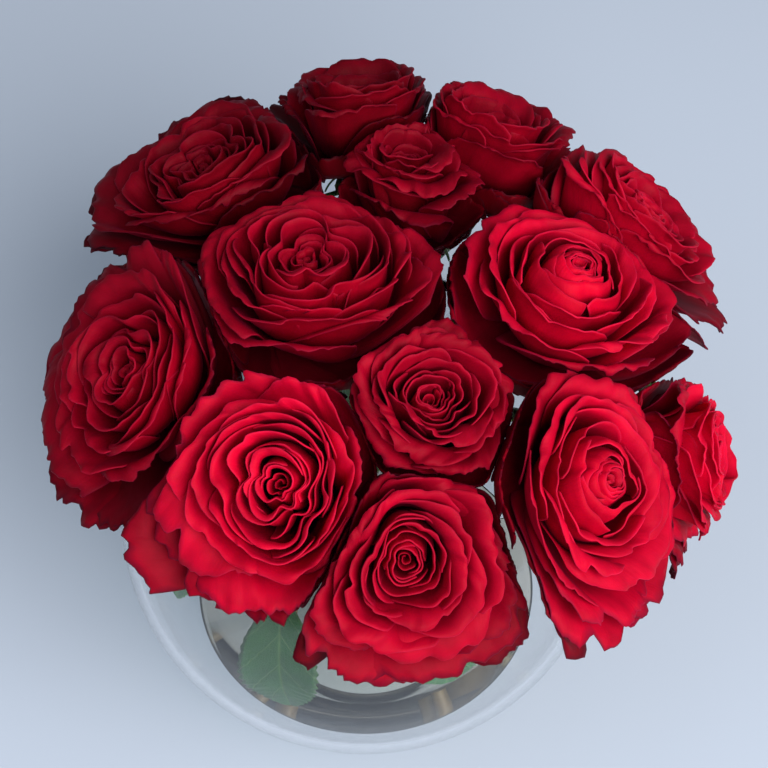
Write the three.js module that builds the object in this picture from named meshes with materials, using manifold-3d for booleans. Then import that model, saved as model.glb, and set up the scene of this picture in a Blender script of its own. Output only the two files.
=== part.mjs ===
// Thirteen cut garden roses in a round clear glass bowl vase, with water in its lower part.
// Millimetres, +Z up. The origin is the centre of the vase's flat base.
import * as THREE from "three";
import { mergeVertices } from "three/addons/utils/BufferGeometryUtils.js";
import Module from "manifold-3d";

const wasm = await Module();
wasm.setup();

// The vase: a sphere of glass with its bottom ground flat and its top open
const BOWL_RADIUS = 105;
const BOWL_CENTRE_Z = 95;
const GLASS_WALL = 4;
const GLASS_FLOOR = 8;
const MOUTH_RADIUS = 75;
const BOWL_SIDES = 30;
const WATER_LEVEL = 28;
const FIT_GAP = 0.35;
const WELD = 0.03; // details smaller than this are closed up where solids are joined

// The stems, with their calyxes and leaves
const STEM_RADIUS = 3;
const STEM_SIDES = 6;
const STEM_SHARES = [0, 0.55, 0.68, 0.78, 0.87, 0.94, 1]; // where its faces change direction
const MOUTH_SHARE = 0.55; // how far out a stem passes the mouth, as a share of its bloom's distance
const MOUTH_TURN = 15; // degrees that it passes the mouth ahead of its bloom
const NECK_LENGTH = 12;
const CALYX_RADIUS = 8;
const CALYX_DEPTH = 11;
const LEAF_THICKNESS = 0.7;
const LEAF_TEETH = 5;
const STALK_RADIUS = 1.2;

// The petals
const PETAL_THICKNESS = 0.9;
const NEIGHBOUR_GAP = 0.7;
const LIP_REACH = 1.06; // the farthest that a lip may roll out, as a share of its bloom's radius
const PRESS_POWER = 16; // how sharply a bloom is flattened against its neighbours

// Each rose: where its stem ends under the bloom; how far the bloom leans from upright, and towards
// which side (degrees, 0 is +X and 90 is +Y); the bloom's radius and depth; how its heart is folded;
// and where its stem's foot stands in the bowl, as a distance from the middle and a bearing.
const ROSES = [
  { at: [-73, -3, 189], lean: 42, side: -160, radius: 56, depth: 42, heart: "quartered", foot: [42, 312] },
  { at: [-17, 13, 208], lean: 8, side: 110, radius: 61, depth: 43, heart: "quartered", foot: [30, 310] },
  { at: [-26, -52, 194], lean: 36, side: -108, radius: 53, depth: 43, heart: "quartered", foot: [58, 340] },
  { at: [17, -74, 190], lean: 48, side: -78, radius: 48, depth: 42, heart: "spiral", foot: [56, 30] },
  { at: [74, -56, 193], lean: 42, side: -28, radius: 55, depth: 43, heart: "spiral", foot: [48, 60] },
  { at: [103, -36, 186], lean: 72, side: -8, radius: 37, depth: 36, heart: "quartered", foot: [54, 105] },
  { at: [23, -38, 206], lean: 20, side: -60, radius: 41, depth: 42, heart: "spiral", foot: [24, 70] },
  { at: [74, 14, 200], lean: 18, side: 20, radius: 58, depth: 42, heart: "spiral", foot: [44, 135] },
  { at: [18, 65, 206], lean: 12, side: 75, radius: 35, depth: 42, heart: "spiral", foot: [28, 220] },
  { at: [-1, 100, 204], lean: 34, side: 98, radius: 47, depth: 42, heart: "spiral", foot: [54, 225] },
  { at: [-50, 79, 197], lean: 24, side: 150, radius: 53, depth: 42, heart: "quartered", foot: [58, 140] },
  { at: [48, 91, 197], lean: 34, side: 62, radius: 50, depth: 42, heart: "spiral", foot: [54, 190] },
  { at: [90, 57, 197], lean: 46, side: 22, radius: 49, depth: 40, heart: "quartered", foot: [54, 160] },
];

const glass = new THREE.MeshStandardMaterial({
  color: 0xe6eef2, roughness: 0.04, metalness: 0, transparent: true, opacity: 0.3,
});
const water = new THREE.MeshStandardMaterial({
  color: 0xdde8ea, roughness: 0.02, metalness: 0, transparent: true, opacity: 0.4,
});
const greenery = new THREE.MeshStandardMaterial({ color: 0x3c6b34, roughness: 0.55, metalness: 0 });
const petals = new THREE.MeshStandardMaterial({ color: 0xb3001f, roughness: 0.6, metalness: 0 });

// Leaves: which rose's stem carries each one and at what share of its length, the ends of its blade,
// the way its upper face looks and its width. The first three hang in the bowl, the others over its rim.
const LEAVES = [
  { rose: 3, share: 0.7, base: [-32, -68, 136], tip: [-30, -84, 76], face: [-0.25, -1, 0.4], width: 31 },
  { rose: 4, share: 0.62, base: [26, -70, 126], tip: [34, -80, 88], face: [0.2, -1, 0.5], width: 27 },
  { rose: 1, share: 0.66, base: [-56, -30, 140], tip: [-76, -52, 108], face: [-1, -0.8, 0.7], width: 24 },
  { rose: 10, share: 0.84, base: [-28, 92, 186], tip: [-46, 126, 170], face: [-0.2, 0.5, 1], width: 30 },
  { rose: 13, share: 0.84, base: [90, 26, 182], tip: [118, 8, 168], face: [0.5, -0.1, 1], width: 27 },
];

// Solids: geometry to manifold and back, and the joining of many

function solidOf(geometry) {
  const bare = geometry.index ? geometry.clone() : geometry;
  const positions = new THREE.BufferGeometry();
  positions.setAttribute("position", bare.getAttribute("position"));
  if (bare.index) positions.setIndex(bare.index);
  const merged = mergeVertices(positions, 1e-4);
  const made = new wasm.Manifold(new wasm.Mesh({
    numProp: 3,
    vertProperties: new Float32Array(merged.attributes.position.array),
    triVerts: new Uint32Array(merged.index.array),
  }));
  if (made.volume() >= 0) return made;
  const turned = new Uint32Array(merged.index.array);
  for (let i = 0; i < turned.length; i += 3) {
    [turned[i + 1], turned[i + 2]] = [turned[i + 2], turned[i + 1]];
  }
  return new wasm.Manifold(new wasm.Mesh({
    numProp: 3,
    vertProperties: new Float32Array(merged.attributes.position.array),
    triVerts: turned,
  }));
}

function geometryOf(solid) {
  const mesh = solid.getMesh();
  const geometry = new THREE.BufferGeometry();
  geometry.setAttribute("position", new THREE.BufferAttribute(mesh.vertProperties, 3));
  geometry.setIndex(new THREE.BufferAttribute(mesh.triVerts, 1));
  geometry.computeVertexNormals();
  return geometry;
}

// The largest body of a solid: sealed hollows are filled and loose scraps dropped.
function oneBody(solid) {
  const bodies = solid.decompose();
  return bodies.reduce((best, body) => (body.volume() > best.volume() ? body : best));
}

function joined(solids) {
  return oneBody(solids.reduce((whole, solid) => whole.add(solid)).simplify(WELD));
}

// A repeatable random source for each rose
function randomSource(seed) {
  let state = seed >>> 0;
  return () => {
    state = (state + 0x6d2b79f5) >>> 0;
    let t = state;
    t = Math.imul(t ^ (t >>> 15), t | 1);
    t ^= t + Math.imul(t ^ (t >>> 7), t | 61);
    return ((t ^ (t >>> 14)) >>> 0) / 4294967296;
  };
}

const radians = THREE.MathUtils.degToRad;

// Vase and water, both turned about Z

// Points on a sphere's meridian round the bowl's centre, from one height to another.
function meridian(radius, fromZ, toZ, count) {
  const from = Math.asin((fromZ - BOWL_CENTRE_Z) / radius);
  const to = Math.asin((toZ - BOWL_CENTRE_Z) / radius);
  return Array.from({ length: count }, (_, i) => {
    const a = from + ((to - from) * i) / (count - 1);
    return new THREE.Vector2(radius * Math.cos(a), BOWL_CENTRE_Z + radius * Math.sin(a));
  });
}

function turned(profile) {
  return new THREE.LatheGeometry(profile, BOWL_SIDES).rotateX(Math.PI / 2);
}

const rimZ = BOWL_CENTRE_Z + Math.sqrt(BOWL_RADIUS ** 2 - MOUTH_RADIUS ** 2);
const innerRadius = BOWL_RADIUS - GLASS_WALL;
const insideWall = [
  ...meridian(innerRadius, GLASS_FLOOR, WATER_LEVEL, 3),
  ...meridian(innerRadius, WATER_LEVEL, rimZ, 6).slice(1),
];

// The inner wall up to a height, drawn in by a gap
function wallInside(gap, upTo) {
  return insideWall.filter((p) => p.y <= upTo + 1e-6).map((p) => {
    const out = new THREE.Vector2(p.x, p.y - BOWL_CENTRE_Z).normalize().multiplyScalar(gap);
    return new THREE.Vector2(p.x - out.x, p.y);
  });
}

function vaseSolid() {
  const outside = meridian(BOWL_RADIUS, 0, rimZ, 8);
  const inside = [...insideWall].reverse();
  const lip = new THREE.Vector2((outside[7].x + inside[0].x) / 2, rimZ + GLASS_WALL * 0.45);
  return solidOf(turned([
    new THREE.Vector2(0, 0), ...outside, lip, ...inside, new THREE.Vector2(0, GLASS_FLOOR),
  ]));
}

function waterSolid(stemHoles) {
  const wall = wallInside(FIT_GAP, WATER_LEVEL);
  wall[0].y = GLASS_FLOOR + FIT_GAP;
  const body = solidOf(turned([
    new THREE.Vector2(0, GLASS_FLOOR + FIT_GAP), ...wall, new THREE.Vector2(0, WATER_LEVEL),
  ]));
  return oneBody(stemHoles.reduce((left, hole) => left.subtract(hole), body));
}

// Everything below and outside the room that the bowl leaves for the stems' feet
function glassZone() {
  const wall = wallInside(FIT_GAP, WATER_LEVEL);
  wall[0].y = GLASS_FLOOR + FIT_GAP;
  return solidOf(turned([
    new THREE.Vector2(0, -40), new THREE.Vector2(150, -40), new THREE.Vector2(150, WATER_LEVEL),
    ...wall.reverse(), new THREE.Vector2(0, GLASS_FLOOR + FIT_GAP),
  ]));
}

// Blades: a thin closed solid about a surface point(u, v), u from -1 to 1 across and v from 0 to 1 along

function bladeSolid(point, columns, rows, thickness) {
  const grid = [];
  for (let j = 0; j <= rows; j += 1) {
    for (let i = 0; i <= columns; i += 1) grid.push(point((2 * i) / columns - 1, j / rows));
  }
  const at = (i, j) => grid[j * (columns + 1) + i];
  const across = new THREE.Vector3();
  const along = new THREE.Vector3();
  const sides = [[], []];
  for (let j = 0; j <= rows; j += 1) {
    for (let i = 0; i <= columns; i += 1) {
      across.subVectors(at(Math.min(i + 1, columns), j), at(Math.max(i - 1, 0), j));
      along.subVectors(at(i, Math.min(j + 1, rows)), at(i, Math.max(j - 1, 0)));
      const normal = across.clone().cross(along).normalize().multiplyScalar(thickness / 2);
      sides[0].push(at(i, j).clone().add(normal));
      sides[1].push(at(i, j).clone().sub(normal));
    }
  }
  const positions = new Float32Array([...sides[0], ...sides[1]].flatMap((p) => [p.x, p.y, p.z]));
  const count = grid.length;
  const faces = [];
  for (let j = 0; j < rows; j += 1) {
    for (let i = 0; i < columns; i += 1) {
      const a = j * (columns + 1) + i;
      const [b, c, d] = [a + 1, a + columns + 2, a + columns + 1];
      faces.push(a, b, c, a, c, d);
      faces.push(count + a, count + c, count + b, count + a, count + d, count + c);
    }
  }
  const edge = [];
  for (let i = 0; i < columns; i += 1) edge.push(i);
  for (let j = 0; j < rows; j += 1) edge.push(j * (columns + 1) + columns);
  for (let i = columns; i > 0; i -= 1) edge.push(rows * (columns + 1) + i);
  for (let j = rows; j > 0; j -= 1) edge.push(j * (columns + 1));
  edge.forEach((a, k) => {
    const b = edge[(k + 1) % edge.length];
    faces.push(a, count + a, count + b, a, count + b, b);
  });
  const geometry = new THREE.BufferGeometry();
  geometry.setAttribute("position", new THREE.BufferAttribute(positions, 3));
  geometry.setIndex(faces);
  return solidOf(geometry);
}

// Where each rose stands: its own frame, with Z along the bloom's axis

const blooms = ROSES.map((rose, index) => {
  const lean = radians(rose.lean);
  const side = radians(rose.side);
  const axis = new THREE.Vector3(
    Math.sin(lean) * Math.cos(side), Math.sin(lean) * Math.sin(side), Math.cos(lean),
  );
  const frame = new THREE.Matrix4().makeRotationFromQuaternion(
    new THREE.Quaternion().setFromUnitVectors(new THREE.Vector3(0, 0, 1), axis),
  );
  frame.setPosition(...rose.at);
  const base = new THREE.Vector3(...rose.at);
  const middle = base.clone().addScaledVector(axis, 0.62 * rose.depth);
  return { ...rose, index, axis, frame, base, middle };
});

// Neighbouring blooms meet on a plane between their middles, nearer the smaller one. Towards a
// neighbour all the layers of a bloom are drawn in alike, so that its outermost lips end at that plane.
function drawnIn(point, bloom) {
  const full = LIP_REACH * bloom.radius;
  const along = point.clone().sub(bloom.base).dot(bloom.axis);
  const foot = bloom.base.clone().addScaledVector(bloom.axis, along);
  const outward = point.clone().sub(foot);
  const distance = outward.length();
  if (distance < 1e-6) return point;
  outward.divideScalar(distance);
  let sum = full ** -PRESS_POWER;
  for (const other of blooms) {
    const towards = other.middle.clone().sub(bloom.middle);
    const apart = towards.length();
    if (other === bloom || apart > bloom.radius + other.radius + 30) continue;
    towards.divideScalar(apart);
    const facing = outward.dot(towards);
    if (facing < 0.05) continue;
    const meeting = (apart * bloom.radius) / (bloom.radius + other.radius);
    const reach = meeting - NEIGHBOUR_GAP - PETAL_THICKNESS / 2;
    const room = Math.max(reach - foot.clone().sub(bloom.middle).dot(towards), 6) / facing;
    sum += room ** -PRESS_POWER;
  }
  return foot.addScaledVector(outward, (distance * sum ** (-1 / PRESS_POWER)) / full);
}

// Petals

const mix = (a, b, t) => a + (b - a) * t;

function bezier(p0, p1, p2, p3, t) {
  const q = 1 - t;
  return q * q * q * p0 + 3 * q * q * t * p1 + 3 * q * t * t * p2 + t * t * t * p3;
}

// A petal of layer s, from 0 at the heart to 1 outermost, that stands at the angle turn round the axis.
// It leaves the bloom's core at the share start of its length; u runs across it and v0 along it.
function petalSurface(bloom, s, turn, start, random) {
  const { radius, depth } = bloom;
  const folded = bloom.heart === "quartered" && s < 0.4;
  const tipR = radius * (0.1 + 0.9 * s ** 0.85) * mix(0.98, 1.02, random());
  const tipZ = depth * (0.95 + 0.3 * s - 0.65 * s * s) * mix(0.97, 1.03, random());
  const halfWidth = radius * (folded ? 0.22 : mix(0.22, 0.58, s ** 0.7)) * mix(0.95, 1.03, random());
  const roll = mix(0.5, 3.5, s) * mix(0.8, 1.2, random());
  const wave = mix(0.3, 1.0, s) * mix(0.6, 1.4, random());
  const waves = mix(1.2, 2.2, random());
  const phase = random() * 2 * Math.PI;
  const twist = mix(2.4, 2.8, s);
  return (u, v0) => {
    const v = mix(start, 1 - (s < 0.4 ? 0.06 : 0.17) * Math.abs(u) ** 2.6, v0 ** 0.8);
    const r = bezier(1.5 + 4.5 * s, tipR * 0.75 + 3, tipR * (1.12 - 0.25 * s) + 1.5 * (1 - s), tipR, v);
    const z = bezier(1.5, 0.1 * depth, tipZ * (0.75 + 0.45 * s * s), tipZ, v);
    const half = halfWidth * (0.3 + 0.95 * Math.sin(Math.min(v, 0.8) * 1.9)) * 0.86;
    const bow = folded ? 0.6 * r : Math.max(r * mix(1.0, 1.25, s), 3.5);
    const angle = (u * half) / bow;
    const margin = Math.max(Math.max(u, 0) ** 4, v ** 5);
    const out = twist * u + roll * margin * s + wave * margin * Math.sin(Math.PI * waves * u + phase);
    const x = r - bow + (bow + out) * Math.cos(angle);
    const y = (bow + out) * Math.sin(angle);
    const up = z - 0.5 * roll * margin * s + 0.6 * wave * margin * Math.cos(Math.PI * waves * u + phase);
    const local = new THREE.Vector3(
      x * Math.cos(turn) - y * Math.sin(turn), x * Math.sin(turn) + y * Math.cos(turn), up,
    );
    return drawnIn(local.applyMatrix4(bloom.frame), bloom);
  };
}

// Rings of petals from the heart outwards: how many, their layer, where they leave the core, and
// their columns and rows of faces
const PETAL_RINGS = [
  { count: 3, layer: 0.16, start: 0.66, columns: 2, rows: 2 },
  { count: 3, layer: 0.54, start: 0.5, columns: 3, rows: 2 },
  { count: 5, layer: 1.0, start: 0.3, columns: 3, rows: 2 },
];

function bloomSolid(bloom) {
  const random = randomSource(101 + bloom.index);
  const { radius, depth } = bloom;
  const coreProfile = [
    [0, FIT_GAP], [7, FIT_GAP], [0.6 * radius, 0.12 * depth], [0.64 * radius, 0.36 * depth],
    [0.48 * radius, 0.64 * depth], [0.16 * radius, 0.84 * depth], [0, 0.8 * depth],
  ].map(([x, y]) => new THREE.Vector2(x, y));
  const coreShape = new THREE.LatheGeometry(coreProfile, 8).rotateX(Math.PI / 2).applyMatrix4(bloom.frame);
  const corePoints = coreShape.getAttribute("position");
  for (let i = 0; i < corePoints.count; i += 1) {
    const point = new THREE.Vector3().fromBufferAttribute(corePoints, i);
    if (point.distanceTo(bloom.base) > 8) corePoints.setXYZ(i, ...drawnIn(point, bloom));
  }
  const core = solidOf(coreShape);
  const firstTurn = random() * 2 * Math.PI;
  const blades = PETAL_RINGS.flatMap(({ count, layer, start, columns, rows }, ring) => (
    Array.from({ length: count }, (_, k) => {
      const turn = firstTurn + ring * 1.1 + (2 * Math.PI * k) / count;
      const surface = petalSurface(bloom, layer, turn, start, random);
      return bladeSolid(surface, columns, rows, PETAL_THICKNESS);
    })
  ));
  return joined([core, ...blades]);
}

// Stems, each with its calyx, sepals, thorns and leaves

function stemCurve(bloom) {
  const [footRadius, bearing] = bloom.foot;
  const around = radians(bearing);
  const depth = Math.sqrt(innerRadius ** 2 - footRadius ** 2) + 2;
  const foot = new THREE.Vector3(
    footRadius * Math.cos(around), footRadius * Math.sin(around),
    Math.max(BOWL_CENTRE_Z - depth, GLASS_FLOOR - 2),
  );
  const out = Math.min(MOUTH_SHARE * Math.hypot(bloom.base.x, bloom.base.y), 61);
  const pass = Math.atan2(bloom.base.y, bloom.base.x) + radians(MOUTH_TURN);
  const mouth = new THREE.Vector3(out * Math.cos(pass), out * Math.sin(pass), rimZ + 3);
  const neck = bloom.base.clone().addScaledVector(bloom.axis, -NECK_LENGTH);
  const head = bloom.base.clone().addScaledVector(bloom.axis, -0.6 * CALYX_DEPTH);
  return new THREE.CatmullRomCurve3([foot, foot.clone().lerp(mouth, 0.5), mouth, neck, head]);
}

// A solid drawn through rings of points, which ends in one more point or in a flat face
function ringedSolid(rings, tip) {
  const points = tip ? [...rings.flat(), tip] : rings.flat();
  const n = rings[0].length;
  const last = (rings.length - 1) * n;
  const faces = [];
  for (let i = 2; i < n; i += 1) {
    faces.push(0, i, i - 1);
    if (!tip) faces.push(last, last + i - 1, last + i);
  }
  rings.forEach((ring, k) => {
    for (let i = 0; i < n; i += 1) {
      const [a, b] = [k * n + i, k * n + ((i + 1) % n)];
      if (a < last) faces.push(a, b, b + n, a, b + n, a + n);
      else if (tip) faces.push(a, b, points.length - 1);
    }
  });
  const geometry = new THREE.BufferGeometry().setFromPoints(points);
  geometry.setIndex(faces);
  return solidOf(geometry);
}

// A ring of points round a curve at the share t of its length, or beyond its start by a distance
function ringAt(curve, t, radius, beyond = 0, sides = STEM_SIDES) {
  const along = curve.getTangent(t);
  const middle = curve.getPoint(t).addScaledVector(along, -beyond);
  const across = new THREE.Vector3(0.3, 1, 0).cross(along).normalize();
  const up = along.clone().cross(across);
  return Array.from({ length: sides }, (_, i) => {
    const a = (2 * Math.PI * i) / sides;
    return middle.clone()
      .addScaledVector(across, radius * Math.cos(a))
      .addScaledVector(up, radius * Math.sin(a));
  });
}

function tubeSolid(curve, radius, beyond) {
  const rings = STEM_SHARES.map((t) => ringAt(curve, t, radius));
  return ringedSolid(beyond ? [ringAt(curve, 0, radius, beyond), ...rings] : rings);
}

function calyxSolid(bloom) {
  const profile = [
    [0, -CALYX_DEPTH], [0.4 * CALYX_RADIUS, -CALYX_DEPTH], [CALYX_RADIUS, -0.3 * CALYX_DEPTH],
    [0.8 * CALYX_RADIUS, 0], [0, 0],
  ].map(([x, y]) => new THREE.Vector2(x, y));
  return solidOf(new THREE.LatheGeometry(profile, 6).rotateX(Math.PI / 2).applyMatrix4(bloom.frame));
}

// Five sepals that hang back from the calyx
function sepalSolids(bloom, random) {
  return Array.from({ length: 5 }, (_, k) => {
    const turn = (2 * Math.PI * (k + 0.5)) / 5 + 0.3 * random();
    const [out, down] = [mix(16, 21, random()), mix(6, 11, random())];
    const place = (x, y, z) => drawnIn(new THREE.Vector3(
      x * Math.cos(turn) - y * Math.sin(turn), x * Math.sin(turn) + y * Math.cos(turn), z,
    ).applyMatrix4(bloom.frame), bloom);
    const ring = (x, z, half) => [place(x, -half, z), place(x - 0.4, 0, z - 1.6), place(x, half, z)];
    return ringedSolid([ring(5, -2.4, 3), ring(out * 0.6, -3.6, 3.6)], place(out, 0, -down));
  });
}

function thornSolids(curve, random) {
  return [0.62, 0.74].map((t) => {
    const [p, along] = [curve.getPoint(t + 0.03 * random()), curve.getTangent(t)];
    const side = new THREE.Vector3(random() - 0.5, random() - 0.5, 0).cross(along).normalize();
    const cross = side.clone().cross(along);
    const foot = p.clone().addScaledVector(side, 0.7 * STEM_RADIUS);
    const ring = [0, 1, 2].map((i) => foot.clone()
      .addScaledVector(along, 2.4 * Math.cos((2 * Math.PI * i) / 3))
      .addScaledVector(cross, 1.4 * Math.sin((2 * Math.PI * i) / 3)));
    return ringedSolid([ring], p.clone().addScaledVector(side, STEM_RADIUS + 4).addScaledVector(along, -2));
  });
}

// A leaf's blade: folded a little along its midrib, arched along its length, with a toothed margin
function leafSolid({ base, tip, face, width }) {
  const [from, to] = [new THREE.Vector3(...base), new THREE.Vector3(...tip)];
  const along = to.clone().sub(from);
  const across = along.clone().cross(new THREE.Vector3(...face)).normalize();
  const upward = across.clone().cross(along).normalize();
  const rows = 2 * LEAF_TEETH;
  return bladeSolid((u, v) => {
    const tooth = Math.round(v * rows) % 2 ? 0.88 : 1.06;
    const half = 0.5 * width * Math.max(Math.sin(Math.PI * v ** 0.85) ** 0.75 * tooth, 0.07);
    const lift = 0.18 * half * Math.abs(u) + 0.16 * along.length() * Math.sin(Math.PI * v);
    return from.clone()
      .addScaledVector(along, v).addScaledVector(across, u * half).addScaledVector(upward, lift);
  }, 2, rows, LEAF_THICKNESS);
}

function stalkSolid(leaf, curve) {
  const [start, end] = [curve.getPoint(leaf.share), new THREE.Vector3(...leaf.base)];
  const tip = end.clone().lerp(new THREE.Vector3(...leaf.tip), 0.12);
  const sag = start.clone().lerp(end, 0.5).add(new THREE.Vector3(0, 0, 5));
  const path = new THREE.QuadraticBezierCurve3(start, sag, end);
  return ringedSolid([0, 0.5, 1].map((t) => ringAt(path, t, STALK_RADIUS, 0, 4)), tip);
}

function stemSolid(bloom, curve, zone) {
  const random = randomSource(301 + bloom.index);
  const tube = tubeSolid(curve, STEM_RADIUS).subtract(zone);
  const leaves = LEAVES.filter((leaf) => leaf.rose === bloom.index + 1)
    .flatMap((leaf) => [stalkSolid(leaf, curve), leafSolid(leaf)]);
  const sepals = sepalSolids(bloom, random);
  return joined([tube, calyxSolid(bloom), ...sepals, ...thornSolids(curve, random), ...leaves]);
}

// The assembly

const assembly = new THREE.Group();

function addPiece(name, solid, material) {
  const mesh = new THREE.Mesh(geometryOf(solid), material);
  mesh.name = name;
  assembly.add(mesh);
}

const curves = blooms.map(stemCurve);
const zone = glassZone();
addPiece("vase", vaseSolid(), glass);
addPiece("water", waterSolid(curves.map((c) => tubeSolid(c, STEM_RADIUS + 2 * FIT_GAP, 9))), water);
blooms.forEach((bloom, i) => {
  const number = String(i + 1).padStart(2, "0");
  addPiece(`stem_${number}`, stemSolid(bloom, curves[i], zone), greenery);
  addPiece(`bloom_${number}`, bloomSolid(bloom), petals);
});

export default assembly;
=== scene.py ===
"""Thirteen cut red garden roses in a round clear glass bowl, dressed round their solid model.

Laid out as a Blender add-on and run as a script. Millimetres inside the shape functions, metres in Blender.
"""

from collections import namedtuple
from math import atan2, cos, hypot, pi, radians, sin, sqrt, tau

import bpy
import numpy as np
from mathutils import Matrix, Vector


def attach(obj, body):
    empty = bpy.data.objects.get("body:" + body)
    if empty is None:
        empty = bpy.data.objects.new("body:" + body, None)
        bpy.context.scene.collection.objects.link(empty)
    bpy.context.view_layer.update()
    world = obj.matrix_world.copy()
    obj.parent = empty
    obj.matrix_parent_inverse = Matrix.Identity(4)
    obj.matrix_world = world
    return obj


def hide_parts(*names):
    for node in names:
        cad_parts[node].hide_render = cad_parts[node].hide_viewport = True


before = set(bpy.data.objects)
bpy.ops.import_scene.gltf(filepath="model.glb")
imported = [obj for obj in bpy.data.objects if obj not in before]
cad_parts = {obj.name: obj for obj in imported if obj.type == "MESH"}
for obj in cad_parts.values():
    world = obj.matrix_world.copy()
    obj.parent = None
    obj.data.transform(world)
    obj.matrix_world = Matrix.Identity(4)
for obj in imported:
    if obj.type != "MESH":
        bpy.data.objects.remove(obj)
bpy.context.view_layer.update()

bl_info = {
    "name": "Roses in a Glass Bowl",
    "version": (1, 0, 0),
    "blender": (4, 5, 0),
    "location": "View3D > Sidebar > Roses",
    "description": "Makes cut roses in a round glass bowl of water, petal by petal",
    "category": "Object",
}

MM = 0.001

# The bowl in millimetres, as in the solid model: the height of its sphere's middle, and of its rim
BOWL_CENTRE_Z = 95.0
RIM_Z = 168.45

# How far a stem's cut end stays clear of the glass, in millimetres
FOOT_CLEAR = 0.35
# How far the water reaches into the glass, which it wets
WET_OVERLAP = 0.4

# The camera: its place, lens and sensor in millimetres, how far it looks down in degrees, and the nearest and
# furthest that it sees in metres
CAMERA_PLACE = (8.213, -514.121, 893.820)
CAMERA_LOOKS_DOWN = 54.0
CAMERA_LENS = 102.85
CAMERA_SENSOR = 36.0
CAMERA_SEES = (0.05, 20)

# The floor, in metres: half its width, and how far it lies under the bowl so that the two don't flicker
FLOOR_HALF = 3.0
FLOOR_DROP = 0.0003

# Each lamp: its place and width in metres, its share of the key lamp's power, and its colour
LAMPS = {
    "key": ((0.9, -1.3, 1.45), 2.0, 1.0, (1.0, 0.985, 0.98)),
    "fill": ((-1.0, -0.6, 1.9), 1.6, 0.12, (0.86, 0.92, 1.0)),
}
LAMPS_AIM = (0, 0, 0.18)

# What a clear body leaves of the light that passes it, as linear red, green, blue and alpha
LIGHT_LEFT = (0.93, 0.95, 0.95, 1.0)

# First number of each random row; the number of the rose or leaf is added
CREASE_SEED, PETAL_SEED, SEPAL_SEED, LEAF_SEED = 960, 500, 700, 800

SEPALS = 5
GUARD_PETALS = 11
SEPAL_THICKNESS, LEAF_THICKNESS = 0.8, 0.7

# Points along a stem, and steps round a turned body
STEM_POINTS = 90
TURNED_STEPS = 144

# Each rose: where its stem ends under the bloom, its lean from upright and the side that it leans to in
# degrees, the bloom's radius and depth, how its heart is folded, its stem's foot as a distance and a bearing,
# how far its heart lies from the middle of the bloom, and how dark its petals are, 1 being the common red.
# That darkness is partly each rose's own tone and partly painted shade: the roses at the back and on the
# left, which face away from the light, are made darker
Rose = namedtuple("Rose", "number at lean side radius depth heart foot heart_at shade")
ROSES = [
    Rose(1, (-73, -3, 189), 42, -160, 56, 42, "quartered", (42, 312), (8, -6), 0.5),
    Rose(2, (-17, 13, 208), 8, 110, 61, 43, "quartered", (30, 310), (-2, -1), 0.53),
    Rose(3, (-26, -52, 194), 36, -108, 53, 43, "quartered", (58, 340), (3, 0), 0.95),
    Rose(4, (17, -74, 190), 48, -78, 48, 42, "open", (56, 30), (-5, -2), 0.64),
    Rose(5, (74, -56, 193), 42, -28, 55, 43, "domed", (48, 60), (-12, -5), 0.88),
    Rose(6, (103, -36, 186), 72, -8, 37, 36, "quartered", (54, 105), (9, 4), 0.98),
    Rose(7, (23, -38, 206), 20, -60, 41, 42, "open", (24, 70), (-2, 6), 0.55),
    Rose(8, (74, 14, 200), 18, 20, 58, 42, "domed", (44, 135), (-4, -4), 0.9),
    Rose(9, (18, 65, 206), 12, 75, 35, 42, "open", (28, 220), (-3, 6), 0.38),
    Rose(10, (-1, 100, 204), 34, 98, 47, 42, "open", (54, 225), (2, -8), 0.26),
    Rose(11, (-50, 79, 197), 24, 150, 53, 42, "quartered", (58, 140), (-1, -12), 0.3),
    Rose(12, (48, 91, 197), 34, 62, 50, 42, "open", (54, 190), (-6, -11), 0.46),
    Rose(13, (90, 57, 197), 46, 22, 49, 40, "quartered", (54, 160), (-3, -12), 0.66),
]

# Each leaf: the rose whose stem carries it and at what share of its length, its two ends, the way its upper
# face looks, its width and how light its green is
Leaf = namedtuple("Leaf", "rose share base tip face width tone")
LEAVES = [
    Leaf(3, 0.7, (-32, -68, 136), (-30, -84, 76), (-0.25, -1, 0.4), 31, 0.5),
    Leaf(4, 0.62, (26, -70, 126), (34, -80, 88), (0.2, -1, 0.5), 27, 0.95),
    Leaf(1, 0.66, (-56, -30, 140), (-76, -52, 108), (-1, -0.8, 0.7), 24, 0.9),
    Leaf(10, 0.84, (-28, 92, 186), (-46, 126, 170), (-0.2, 0.5, 1), 30, 0.9),
    Leaf(13, 0.84, (90, 26, 182), (118, 8, 168), (0.5, -0.1, 1), 27, 0.9),
]


# Settings that a user would change


def linear(colour):
    """Linear RGBA from an sRGB hex colour."""
    parts = [int(colour[k : k + 2], 16) / 255 for k in (0, 2, 4)]
    return (*(c / 12.92 if c <= 0.04045 else ((c + 0.055) / 1.055) ** 2.4 for c in parts), 1.0)


def colour_setting(name, description, colour):
    """A colour property whose default is an sRGB hex colour."""
    return bpy.props.FloatVectorProperty(
        name=name, description=description, subtype="COLOR", size=4, min=0.0, max=1.0, default=linear(colour)
    )


def length_setting(name, description, length):
    """A length property, in metres."""
    return bpy.props.FloatProperty(name=name, description=description, default=length, unit="LENGTH")


class BowlSettings(bpy.types.PropertyGroup):
    """Sizes and colours of the glass bowl and its water"""

    radius: length_setting("Bowl radius", "Outer radius of the glass sphere", 0.105)
    wall: length_setting("Glass wall", "Thickness of the glass", 0.004)
    floor: length_setting("Glass floor", "Thickness of the glass under the water", 0.008)
    mouth: length_setting("Mouth radius", "Radius of the open rim", 0.075)
    water_level: length_setting("Water level", "Height of the water above the table", 0.028)
    glass_colour: colour_setting("Glass colour", "Tint of the glass", "FCFDFD")


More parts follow.
